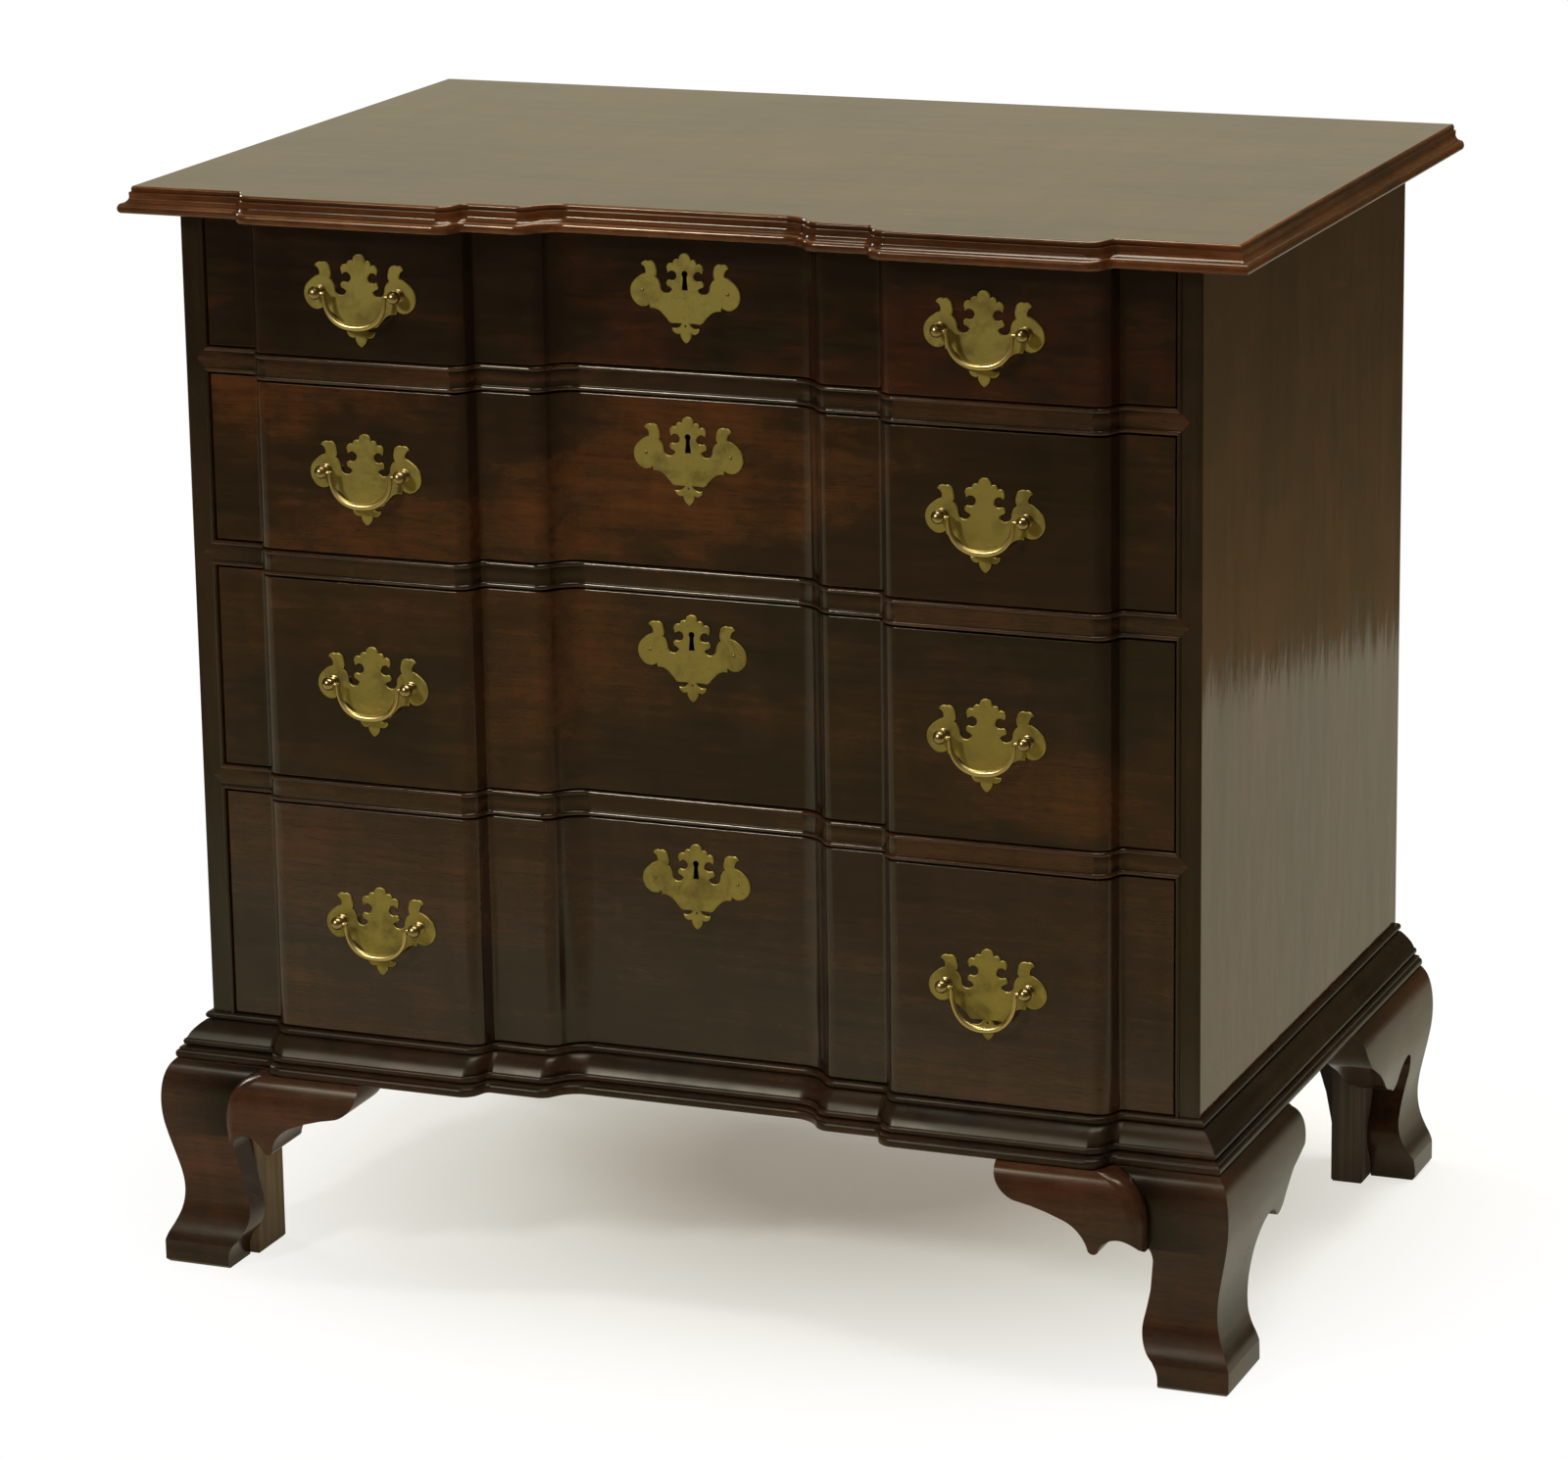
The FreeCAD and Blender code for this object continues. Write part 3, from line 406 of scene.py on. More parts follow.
def arc(start, middle, end):
    """Points along the arc through three points, without its start."""
    ax, ay = middle[0] - start[0], middle[1] - start[1]
    bx, by = end[0] - start[0], end[1] - start[1]
    twice = 2 * (ax * by - ay * bx)
    a2, b2 = ax * ax + ay * ay, bx * bx + by * by
    cx = start[0] + (by * a2 - ay * b2) / twice
    cy = start[1] + (ax * b2 - bx * a2) / twice
    radius = math.hypot(start[0] - cx, start[1] - cy)
    first = math.atan2(start[1] - cy, start[0] - cx)
    turn = math.atan2(end[1] - cy, end[0] - cx) - first
    if twice > 0 and turn < 0:
        turn += 2 * math.pi
    if twice < 0 and turn > 0:
        turn -= 2 * math.pi
    count = max(2, math.ceil(abs(math.degrees(turn)) / arc_step))
    angles = [first + turn * i / count for i in range(1, count)]
    return [(cx + radius * math.cos(a), cy + radius * math.sin(a)) for a in angles] + [end]


def traced(points):
    """An outline: a pair ends a straight, four numbers hold an arc's middle and end."""
    corners = [points[0]]
    for item in points[1:]:
        corners += [item] if len(item) == 2 else arc(corners[-1], item[:2], item[2:])
    return corners


def straight_part(width, rise, angle):
    """Length of the straight between the two arcs of a reversed curve."""
    turn = math.radians(angle)
    half_tan = math.tan(turn / 2)
    return (rise - width * half_tan) / (math.sin(turn) - math.cos(turn) * half_tan)


def flank(start, width, depth, angle, first_radius):
    """The reversed curve between two levels of the front."""
    turn, side, rise = math.radians(angle), math.copysign(1.0, depth), abs(depth)
    both = (width - straight_part(width, rise, angle) * math.cos(turn)) / math.sin(turn)
    last_radius = both - first_radius

    def at(x, y):
        return (start[0] + x, start[1] + side * y)

    def on_arc(radius, share):
        return radius * math.sin(turn * share), radius * (1 - math.cos(turn * share))

    back_x, back_y = on_arc(last_radius, 1.0)
    middle_x, middle_y = on_arc(last_radius, 0.5)
    return [at(*on_arc(first_radius, 0.5)) + at(*on_arc(first_radius, 1.0)),
            at(width - back_x, rise - back_y),
            at(width - middle_x, rise - middle_y) + at(width, rise)]


def front_line(reach):
    """The blocked front in plan, from left to right, as (x, y behind the stile face)."""
    turn = math.radians(block_flank_angle)
    straight = straight_part(block_flank, block_rise, block_flank_angle)
    knee = (block_flank - straight * math.cos(turn)) / math.sin(turn) - block_cove
    strip_end = (outer_strip - opening_half, 0.0)
    block_end = (-inner_edge - inner_strip - block_flank, -block_rise)
    points = [(-reach, 0.0), strip_end]
    points += flank(strip_end, block_flank, -block_rise, block_flank_angle, block_cove)
    points.append(block_end)
    points += flank(block_end, block_flank, block_rise, block_flank_angle, knee)
    points.append((-inner_edge, 0.0))
    points += flank(points[-1], recess_flank, recess_depth, recess_flank_angle, recess_lip)
    left = traced(points)
    return left + [(-x, y) for x, y in reversed(left)]


def mitred(line):
    """Each point of a line with how it leans at a mitre: -1 first, 1 last, 0 between."""
    last = len(line) - 1
    return [(x, y, (i == last) - (i == 0)) for i, (x, y) in enumerate(line)]


def welded(piece):
    """Joins a mesh's doubled points and splits its faces of many sides, ready for a saw."""
    work = bmesh.new()
    work.from_mesh(piece.data)
    joined(work)
    bmesh.ops.triangulate(work, faces=[face for face in work.faces if len(face.verts) > 4])
    work.to_mesh(piece.data)
    work.free()


def cut(piece, cutters, operation="DIFFERENCE"):
    """Cuts other shapes out of a piece, or joins or shares them, and clears them away."""
    welded(piece)
    bpy.context.view_layer.objects.active = piece
    for cutter in cutters:
        welded(cutter)
        trim = piece.modifiers.new("cut", "BOOLEAN")
        trim.operation = operation
        trim.solver = "EXACT"
        trim.object = cutter
        bpy.ops.object.modifier_apply(modifier=trim.name)
        bpy.data.objects.remove(cutter, do_unlink=True)
    work = bmesh.new()
    work.from_mesh(piece.data)
    flattened(work)
    work.to_mesh(piece.data)
    work.free()


def copy_of(name):
    """A loose copy of a piece's shape, to cut its seat with."""
    made = bpy.data.objects.new("seat", nodes[name].data.copy())
    bpy.context.scene.collection.objects.link(made)
    return made


def box_solid(name, low, high):
    """A square block between its lowest and highest corners."""
    corners = [(low[0], low[1]), (high[0], low[1]), (high[0], high[1]), (low[0], high[1])]
    return solid(name, [[[(x, y, z) for x, y in corners] for z in (low[2], high[2])]])


def bolt_slot(number):
    """The slot that a lock's bolt shoots into."""
    low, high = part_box("drawer_%d_bolt" % number)
    spare = Vector((bolt_room, bolt_room, 0.0))
    top = openings[number - 1][1]
    return box_solid("slot", (*(low - spare).xy, top - bolt_room),
                     (*(high + spare).xy, top + bolt_travel + bolt_room))


blade_wood = mahogany("mahogany_blades", "X", 2, brown=(0.018, 0.0088, 0.0042),
                      red=(0.042, 0.015, 0.0052), warmth=0.3)
for number, name in ((1, "upper"), (2, "middle"), (3, "lower")):
    high = openings[number - 1][0]
    low = openings[number][1]
    section = half_round(low, bead_width, bead_rise + blade_stand)
    section += [(blade_stand, (low + high) / 2)]
    section += half_round(high - bead_width, bead_width, bead_rise + blade_stand)
    rings = []
    for x, y, lean in mitred(front_line(opening_half)):
        ring = [(x + lean * min(z - low, high - z), stile_face + y - out, z) for out, z in section]
        ring += [(x, stile_face + blade_depth, high), (x, stile_face + blade_depth, low)]
        rings.append(ring)
    blade = solid("blade_%s_rail" % name, [rings])
    cut(blade, [bolt_slot(number + 1)])
    finished(blade, "carcase", blade_wood, ["blade_" + name])

# --- Back boards and nails --------------------------------------------------------
# Four rough pine boards lie in the rabbets of the sides. Two wrought iron nails
# with hammered heads hold each end of each board.

nail_radius = 0.0042
nail_stand = 0.0016
nail_inset = 0.0048
nail_spread = 0.3
nail_sides = 7
nail_turn = 1.3
nail_dent = 0.12
nail_lumps = 3.1
nail_dome = ((1.0, 0.0), (0.92, 0.4), (0.55, 0.85), (0.2, 1.0))

back_pine = pine("pine_back", "X", 3, tone=(0.30, 0.175, 0.085), dark=(0.20, 0.108, 0.049))
dress("back_boards", "carcase", back_pine)


def iron(name, seed):
    """Hammered iron, nearly black, with spots of rust."""
    made, tree, shader = new_material(name)
    place = placed(tree, seed)
    spots = texture(tree, place, (90.0, 90.0, 90.0), 4.0, 0.6)
    dents = texture(tree, place, (160.0, 160.0, 160.0), 2.0)
    black, rust = (0.045, 0.043, 0.042), (0.055, 0.026, 0.014)
    colour = graded(tree, spots, [(0.4, black), (0.62, rust)])
    rough = node(tree, "MapRange", {"Value": spots, "To Min": 0.35, "To Max": 0.75})
    dented = node(tree, "Bump", {"Height": dents, "Strength": 0.4, "Distance": 0.0006})
    feed(shader, {"Base Color": colour, "Roughness": rough.outputs[0], "Normal": dented.outputs[0],
                  "Metallic": 0.8})
    return made


def nail_head(x, z, number):
    """Rings of one hammered nail head; its number turns it and dents its rim."""
    rings = []
    for share, out in nail_dome:
        ring = []
        for step in range(nail_sides):
            angle = 2 * math.pi * step / nail_sides + number * nail_turn
            reach = nail_radius * share * (1 + nail_dent * math.sin(nail_lumps * step + number))
            ring.append((x + reach * math.cos(angle), case_back + nail_stand * out,
                         z + reach * math.sin(angle)))
        rings.append(ring)
    return rings


nail_iron = iron("iron_nails", 4)
heads = []
board_low, board_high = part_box("back_boards")
pitch = (board_high.z - board_low.z) / 4
for row in range(4):
    for side in (-1, 1):
        for share in (nail_spread, 1 - nail_spread):
            x = side * (board_high.x - nail_inset)
            heads.append(nail_head(x, board_low.z + (row + share) * pitch, len(heads) + 1))
finished(solid("back_nails", heads), "carcase", nail_iron)

# --- Base moulding ----------------------------------------------------------------
# Mahogany moulding glued round the foot of the case: two beads with a fillet
# between, a long slope and a fine bead on top. The blocked front is mitred to the sides.

mould_low = case_foot
mould_high = openings[3][0]
mould_reach = 0.0225
lower_bead = 0.0066
lower_rise = 0.0019
fillet_reach = 0.0202
fillet_top = 0.0083
middle_bead = 0.0052
middle_low = 0.0097
middle_reach = 0.0178
middle_rise = 0.0020
upper_bead = 0.0055
upper_reach = 0.0045
upper_rise = 0.0026
mould_back = 0.040
quirk = 0.0003
slope_from = 0.0010
slope_to = 0.0012
slope_out = 0.0028
slope_sag = (0.0110, 0.0220)
fillet_slant = 0.0002
neck_gap = 0.0005
hair = 0.0001
mould_neck = upper_reach - upper_rise
middle_foot = middle_reach - middle_rise
slope_low = (middle_foot, mould_low + middle_low + middle_bead + slope_from)
slope_middle = (slope_sag[0], mould_low + slope_sag[1])
slope_high = (mould_neck + slope_out, mould_high - upper_bead - slope_to)
mould_section = half_round(mould_low, lower_bead, lower_rise, mould_reach - lower_rise)
mould_section += [(fillet_reach, mould_low + lower_bead + quirk),
                  (fillet_reach, mould_low + fillet_top),
                  (middle_foot - fillet_slant, mould_low + middle_low - quirk)]
mould_section += half_round(mould_low + middle_low, middle_bead, middle_rise, middle_foot)
mould_section += arc(slope_low, slope_middle, slope_high)
mould_section += [(mould_neck, mould_high - upper_bead - neck_gap)]
mould_section += half_round(mould_high - upper_bead, upper_bead, upper_rise, mould_neck)


def mould_back_at(x):
    """The moulding runs behind the stiles' line between them, and in front of them elsewhere."""
    return mould_back if abs(x) < opening_half - hair / 2 else 0.0


mould_line = front_line(case_half)
mould_line[1:1] = [(-opening_half, 0.0), (-opening_half + hair, 0.0)]
mould_line[-1:-1] = [(opening_half - hair, 0.0), (opening_half, 0.0)]
rings = []
for x, y, lean in mitred(mould_line):
    ring = [(x + lean * out, stile_face + y - out, z) for out, z in mould_section]
    back = stile_face + mould_back_at(x)
    rings.append(ring + [(x, back, mould_high), (x, back, mould_low)])
mould_wood = mahogany("mahogany_base_front", "X", 3, brown=(0.016, 0.0100, 0.0050),
                      red=(0.040, 0.0145, 0.0055), warmth=0.3, gloss=0.30, shine=0.20)
mould_side_wood = mahogany("mahogany_base_sides", "Y", 4, brown=(0.015, 0.0095, 0.0050),
                           red=(0.030, 0.0135, 0.006), warmth=0.3, gloss=0.28, shine=0.26)
finished(solid("base_moulding_front", [rings]), "carcase", mould_wood, ["base_mould_front"])
for side, hand in hands:
    rings = []
    for lean, y in ((1.0, stile_face), (0.0, case_back)):
        ring = [(side * (case_half + out), y - lean * out, z) for out, z in mould_section]
        rings.append(ring + [(side * case_half, y, mould_high), (side * case_half, y, mould_low)])
    finished(solid("base_moulding_" + hand, [rings]), "carcase", mould_side_wood, ["base_mould_" + hand])

# --- Feet -------------------------------------------------------------------------
# Ogee bracket feet sawn from thick mahogany. The two brackets of a front foot are
# mitred at the corner, and the front one swells into a knee below its block. A rear
# foot has a side bracket and a pine brace, and pine blocks are glued behind them all.

bracket_back = 0.004
knee_round = 0.012
knee_width = 0.110
knee_steps = 8
fall_steps = 5
brace_thickness = 0.018
return_stock = 0.2
rear_stock = 0.25
saw_half = 0.1
saw_past = 0.06
millimetre = 0.001
foot_ogee = [
    (22.0, 165.0), (26.4, 160.0), (29.7, 152.0), (31.5, 142.0), (32.0, 130.0), (31.0, 117.0),
    (28.4, 103.0), (25.0, 88.0), (22.0, 74.0), (20.5, 62.0), (20.8, 51.0), (22.9, 41.0),
    (26.6, 32.0), (30.8, 24.0), (33.0, 18.0), (33.0, 2.5), (30.5, 0.0)]
knee_swell = [
    (2.0, 165.0), (12.0, 160.0), (20.0, 152.0), (25.2, 142.0), (27.5, 130.0), (27.4, 117.0),
    (26.0, 103.0), (22.0, 88.0)]
front_bracket = [
    (0.0, 165.0), (143.0, 165.0), (139.5, 149.5, 126.0, 139.0), (106.0, 134.5, 88.0, 128.0),
    (76.5, 119.5, 70.5, 107.5), (66.5, 103.0, 62.0, 107.0), (47.0, 117.0, 32.5, 110.0),
    (28.0, 103.5, 27.0, 95.0), (30.5, 71.0, 35.5, 49.0), (34.0, 31.0, 26.0, 20.0),
    (22.8, 14.0, 22.0, 0.0), (0.0, 0.0)]
side_bracket = [
    (0.0, 165.0), (151.0, 165.0), (163.0, 148.0, 160.5, 132.0), (147.0, 127.0, 134.0, 122.5),
    (125.0, 112.0, 121.0, 98.5), (114.0, 92.0, 105.0, 95.0), (83.0, 104.0, 66.5, 97.0),
    (60.5, 88.5, 58.5, 78.0), (55.5, 59.0, 49.5, 45.0), (44.0, 33.0, 43.0, 19.0),
    (44.0, 9.0, 46.0, 0.0), (0.0, 0.0)]
rear_bracket = [
    (0.0, 165.0), (188.0, 165.0), (186.0, 147.0, 171.0, 131.0), (152.0, 121.0, 132.0, 108.0),
    (114.0, 97.0, 98.0, 92.0), (89.0, 88.5, 82.0, 96.0), (66.0, 110.0, 50.0, 100.0),
    (45.5, 92.0, 45.4, 84.0), (48.5, 67.0, 56.0, 54.0), (62.0, 41.0, 59.0, 25.0),
    (52.0, 12.0, 48.0, 0.0), (0.0, 0.0)]
rear_brace = [(0.0, 165.0), (98.0, 165.0), (52.0, 86.0, 36.0, 1.0), (0.0, 1.0)]


def smooth_fall(points):
    """A falling line of (outward, height) points, rounded through its points."""
    made = []
    for i in range(len(points) - 1):
        p0, p1 = Vector(points[max(i - 1, 0)]), Vector(points[i])
        p2, p3 = Vector(points[i + 1]), Vector(points[min(i + 2, len(points) - 1)])
        for step in range(fall_steps):
            t = step / fall_steps
            made.append(tuple(0.5 * ((2 * p1) + (p2 - p0) * t + (2 * p0 - 5 * p1 + 4 * p2 - p3) * t * t
                                     + (3 * p1 - p0 - 3 * p2 + p3) * t ** 3)))
    return made + [points[-1]]


def in_metres(points):
    """Points of two or four numbers, turned from millimetres."""
    return [tuple(value * millimetre for value in item) for item in points]


def reach_at(points, height):
    """How far a falling line stands out at one height."""
    for upper, lower in zip(points, points[1:]):
        if height >= lower[1]:
            share = (upper[1] - height) / (upper[1] - lower[1])
            return upper[0] + share * (lower[0] - upper[0])
    return points[-1][0]


ogee = in_metres(smooth_fall(foot_ogee[:-2]) + foot_ogee[-2:])
swells = in_metres(smooth_fall(knee_swell))
foot_section = ogee + [(-bracket_back, 0.0), (-bracket_back, case_foot)]
strip_end = opening_half - outer_strip


def across_front(side, x):
    """The foot's section on the front, at one x."""
    return [(side * x, stile_face - out, z) for out, z in foot_section]


def corner_mitre(side):
    """The foot's section where its two brackets meet at the corner."""
    return [(side * (case_half + out), stile_face - out, z) for out, z in foot_section]


def along_side(side, y):
    """The foot's section on the side, at one y."""
    return [(side * (case_half + out), y, z) for out, z in foot_section]


def sawn(stock, points, place, start, end):
    """Saws a bracket's outline out of its stock, past the corner on its straight edges."""
    outline = []
    for u, z in traced(in_metres(points)):
        past = saw_past if z > case_foot - hair else -saw_past if z <= 0.0 else 0.0
        outline.append((-saw_past if u == 0.0 else u, z + past))
    saw = solid("saw", [[[place(u, depth, z) for u, z in outline] for depth in (start, end)]])
    cut(stock, [saw], "INTERSECT")


def knee_rings(side):
    """Rings of the swelling knee, from the moulding down."""
    rings = []
    for swell, z in swells:
        front = stile_face - block_rise - reach_at(ogee, z)
        edge = strip_end + swell
        inner = strip_end - knee_width
        ring = [(side * inner, front)]
        for step in range(knee_steps + 1):
            angle = math.pi / 2 * step / knee_steps
            ring.append((side * (edge - knee_round + knee_round * math.sin(angle)),
                         front + knee_round - knee_round * math.cos(angle)))
        ring += [(side * edge, stile_face + bracket_back), (side * inner, stile_face + bracket_back)]
        rings.append([(x, y, z) for x, y in ring])
    return rings


foot_wood = mahogany("mahogany_feet_front", "X", 5, brown=(0.027, 0.0130, 0.0060),
                     red=(0.052, 0.0160, 0.0056), warmth=0.4, gloss=0.22, rubbed=0.35, shine=0.28)
foot_side_wood = mahogany("mahogany_feet_sides", "Y", 6, brown=(0.022, 0.0110, 0.0050),
                          red=(0.044, 0.0150, 0.0054), warmth=0.4, gloss=0.22, rubbed=0.35, shine=0.32)
# The braces are painted far darker than pine: painted shade behind the rear feet.
shaded_brace_pine = pine("pine_foot_braces_shaded", "X", 7, tone=(0.048, 0.033, 0.018), dark=(0.026, 0.018, 0.010))
for side, hand in hands:
    leg = solid("foot_front_%s_bracket" % hand, [[across_front(side, strip_end), corner_mitre(side)]])
    cut(leg, [solid("knee", [knee_rings(side)])], "UNION")
    sawn(leg, front_bracket, lambda u, y, z: (side * (case_half - u), y, z),
         stile_face - 2 * saw_half, stile_face + saw_half)
    side_leg = solid("foot_side_%s_bracket" % hand,
                     [[corner_mitre(side), along_side(side, stile_face + return_stock)]])
    sawn(side_leg, side_bracket, lambda v, x, z: (side * x, stile_face + v, z),
         case_half - saw_half, case_half + saw_half)
    finished(leg, "carcase", foot_wood, ["foot_front_" + hand])
    finished(side_leg, "carcase", foot_side_wood, ["foot_front_" + hand])

    rear = solid("foot_back_%s_bracket" % hand,
                 [[along_side(side, case_back - rear_stock), along_side(side, case_back)]])
    sawn(rear, rear_bracket, lambda w, x, z: (side * x, case_back - w, z),
         case_half - saw_half, case_half + saw_half)
    finished(rear, "carcase", foot_side_wood, ["foot_back_" + hand])
    outline = eased([(side * (case_half - bracket_back - u), z) for u, z in traced(in_metres(rear_brace))])
    brace = [[(x, y, z) for x, z in outline] for y in (rabbet_front - brace_thickness, rabbet_front)]
    finished(solid("foot_back_%s_brace" % hand, [brace]), "carcase", shaded_brace_pine,
             ["foot_back_" + hand])

# One set of glue blocks in two colours: the rear blocks are painted dark as painted shade, and the front
# ones pale as painted light against the shadow they stand in.
shaded_rear_block_pine = pine("pine_rear_blocks_shaded", "Z", 5, tone=(0.11, 0.075, 0.036), dark=(0.062, 0.042, 0.020))
blocks = dress("foot_blocks", "carcase", shaded_rear_block_pine, ease=0.0012)
lit_front_block_pine = pine("pine_front_blocks_lit", "Z", 5, tone=(0.38, 0.265, 0.115), dark=(0.27, 0.185, 0.080))
light_painted_faces(blocks, lit_front_block_pine, lambda face: face.center.y < 0.0)

# --- Top --------------------------------------------------------------------------
# One mahogany board with its front blocked like the case and a moulding run on
# the front and both sides. Sliding dovetails hold it down on the case sides.

top_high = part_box("top_board")[1].z
top_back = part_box("top_board")[1].y
top_front_out = 0.024
top_side_more = 0.016
top_bead = 0.0075
top_bead_rise = 0.0026
top_quirk = 0.0011
top_fillet = 0.0045
top_fillet_out = top_front_out - 0.0083
top_fillet_foot = 0.0014
top_round = 0.0019
top_round_steps = 6
top_sag = 0.0016
top_bend = 0.0004
top_curve_steps = 12
level = 0.9
ogee_low = (top_front_out - top_bead_rise - top_quirk, case_top + top_bead)
ogee_high = (top_fillet_out + top_fillet_foot, top_high - top_fillet)
top_section = half_round(case_top, top_bead, top_bead_rise, top_front_out - top_bead_rise)
top_section += [(ogee_low[0], ogee_low[1] + quirk)]
for step in range(1, top_curve_steps):
    t = step / top_curve_steps
    out = ogee_low[0] + (ogee_high[0] - ogee_low[0]) * t
    z = ogee_low[1] + (ogee_high[1] - ogee_low[1]) * t
    out -= top_sag * math.sin(math.pi * t) + top_bend * math.sin(2 * math.pi * t)
    top_section.append((out, z))
top_section += [ogee_high, (top_fillet_out, ogee_high[1] + fillet_slant)]
for step in range(top_round_steps + 1):
    angle = math.pi / 2 * step / top_round_steps
    top_section.append((top_fillet_out - top_round * (1 - math.cos(angle)),
                        top_high - top_round * (1 - math.sin(angle))))


def top_rings():
    """The moulded edge from the back left corner round the front to the back right."""
    side_reach = case_half + top_side_more
    front = [[(x + lean * (top_side_more + out), stile_face + y - out, z) for out, z in top_section]
             for x, y, lean in mitred(front_line(case_half))]
    left, right = ([(side * (side_reach + out), top_back, z) for out, z in top_section]
                   for side in (-1, 1))
    return [left] + front + [right]


def top_board(rings):
    """The edge's rings closed by one flat face above, one below and one behind."""
    size, last = len(top_section), (len(rings) - 1) * len(top_section)
    faces = []
    for row in range(len(rings) - 1):
        for i in range(row * size, row * size + size - 1):
            faces.append((i, i + 1, i + size + 1, i + size))
    faces.append(tuple(row * size for row in range(len(rings))))
    faces.append(tuple(row * size + size - 1 for row in reversed(range(len(rings)))))
    faces.append(tuple(range(size)) + tuple(reversed(range(last, last + size))))
    return shaped("top_moulded", [point for ring in rings for point in ring], faces)


top = top_board(top_rings())
cut(top, [bolt_slot(1)])
top_wood = mahogany("mahogany_top", "X", 7, brown=(0.026, 0.0150, 0.0068),
                    red=(0.036, 0.0175, 0.0072), warmth=0.4, gloss=0.10,
                    worn=(0.16, 0.060, 0.020), rubbed=1.1, sway=0.03)
lit_edge_wood = mahogany("mahogany_top_edge_lit", "X", 8, brown=(0.048, 0.0150, 0.0042),
                     red=(0.080, 0.0230, 0.0056), gloss=0.15,
                     worn=(0.16, 0.060, 0.020), rubbed=0.9, shine=0.32)
finished(top, "carcase", top_wood, ["top_board"])
# Faces that do not face up, the moulded edge, take a redder, brighter copy of the top's wood: painted
# light on the edge.
light_painted_faces(top, lit_edge_wood, lambda face: face.normal.z < level)

# --- Drawers ----------------------------------------------------------------------
# Each front is cut from one thick mahogany plank, its blocks and hollow shaped
# with the case. Pine sides are dovetailed into it, and the bottom slides in grooves.

front_back = stile_face + front_thickness
box_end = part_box("drawer_1_front")[1].x
plate_thick = 0.0016
plate_face = stile_face - block_rise - plate_thick
shank_half = 0.002
shank_spare = 0.02
post_half = 0.032
pull_x = 0.244
pull_raise = 0.0005
keyhole_eye = 0.0024
keyhole_from, keyhole_turn, keyhole_steps = -45, 270, 20
keyhole_half = 0.0015
keyhole_foot = 0.0024
keyhole_neck = 0.3
keyhole_drop = 0.012
keyhole_raise = 0.0125
keyhole_spare = 0.01
escutcheon_drop = 0.042
lock_gap = 0.002
pocket_spare = 0.01
pull_heights = [(low + high) / 2 + pull_raise for low, high in openings]
escutcheon_heights = [high - escutcheon_drop for low, high in openings]
# Each front has its own tone. The top drawer is also painted darker for the shade under the top's
# overhang, and the lowest lighter and duller for a painted reflection of the floor.
front_tones_and_painted_light = (
    dict(brown=(0.0088, 0.0042, 0.0022), red=(0.044, 0.0080, 0.0024), warmth=0.45),
    dict(brown=(0.0140, 0.0060, 0.0025), red=(0.068, 0.0190, 0.0036), warmth=0.45),
    dict(brown=(0.0115, 0.0062, 0.0031), red=(0.044, 0.0135, 0.0036), warmth=0.30),
    dict(brown=(0.0195, 0.0102, 0.0056), red=(0.044, 0.0145, 0.0052), warmth=0.40))
corner_round = [(u * edge_ease, v * edge_ease)
                for u, v in ((0.0, 1.0), (0.13, 0.5), (0.5, 0.13), (1.0, 0.0))]


def front_board_line():
    """The blocked line with its two ends slightly rounded."""
    left = [(u - box_end, v) for u, v in corner_round]
    return left + front_line(box_end)[1:-1] + [(-x, y) for x, y in reversed(left)]


def keyhole(z, y_start, y_end):
    """Round eye with a slot below it that widens a little to its foot."""
    points = []
    for step in range(keyhole_steps + 1):
        angle = math.radians(keyhole_from + keyhole_turn * step / keyhole_steps)
        points.append((keyhole_eye * math.cos(angle), z + keyhole_eye * math.sin(angle)))
    neck, foot = z - keyhole_neck * keyhole_drop, z - keyhole_drop
    points += [(-keyhole_half, neck), (-keyhole_foot, foot), (keyhole_foot, foot), (keyhole_half, neck)]
    return solid("keyhole", [[[(x, y, z) for x, z in points] for y in (y_start, y_end)]])


def shank_box(x, z):
    """The square hole for one post's shank."""
    return box_solid("shank", (x - shank_half, plate_face - shank_spare, z - shank_half),
                     (x + shank_half, front_back + shank_spare, z + shank_half))


box_pine = pine("pine_drawer_sides", "Y", 6, tone=(0.33, 0.19, 0.09))
for number in drawer_numbers:
    name = "drawer_%d" % number
    low, high = openings[number - 1]
    low, high = low + bottom_gap, high - top_gap
    profile = [(-v, low + u) for u, v in corner_round]
    profile += [(-v, high - u) for u, v in reversed(corner_round)]
    rings = []
    for x, y in front_board_line():
        ring = [(x, stile_face + y - out, z) for out, z in profile]
        rings.append(ring + [(x, front_back, high), (x, front_back, low)])
    board = solid(name + "_blocked_front", [rings])
    lock_low, lock_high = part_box(name + "_lock")
    pocket = box_solid("pocket", lock_low,
                       (lock_high.x, lock_high.y + pocket_spare, lock_high.z + pocket_spare))
    eye = keyhole(escutcheon_heights[number - 1] + keyhole_raise,
                  stile_face - keyhole_spare, lock_low.y + lock_gap)
    shanks = [shank_box(side * pull_x + end * post_half, pull_heights[number - 1])
              for side in (-1, 1) for end in (-1, 1)]
    cut(board, [copy_of(name + "_sides"), copy_of(name + "_bottom"), pocket, eye] + shanks)
    wood = mahogany("mahogany_front_%d" % number, "X", 10 + number, gloss=0.14,
                    **front_tones_and_painted_light[number - 1])
    finished(board, name, wood, [name + "_front"])
    dress(name + "_sides", name, box_pine)
    dress(name + "_back", name, pine_across)
    dress(name + "_bottom", name, pine_across)

# --- Locks ------------------------------------------------------------------------
# An iron box lock is let into the back of each front behind its escutcheon. Its
# square bolt shoots up into the blade above, or into the top.

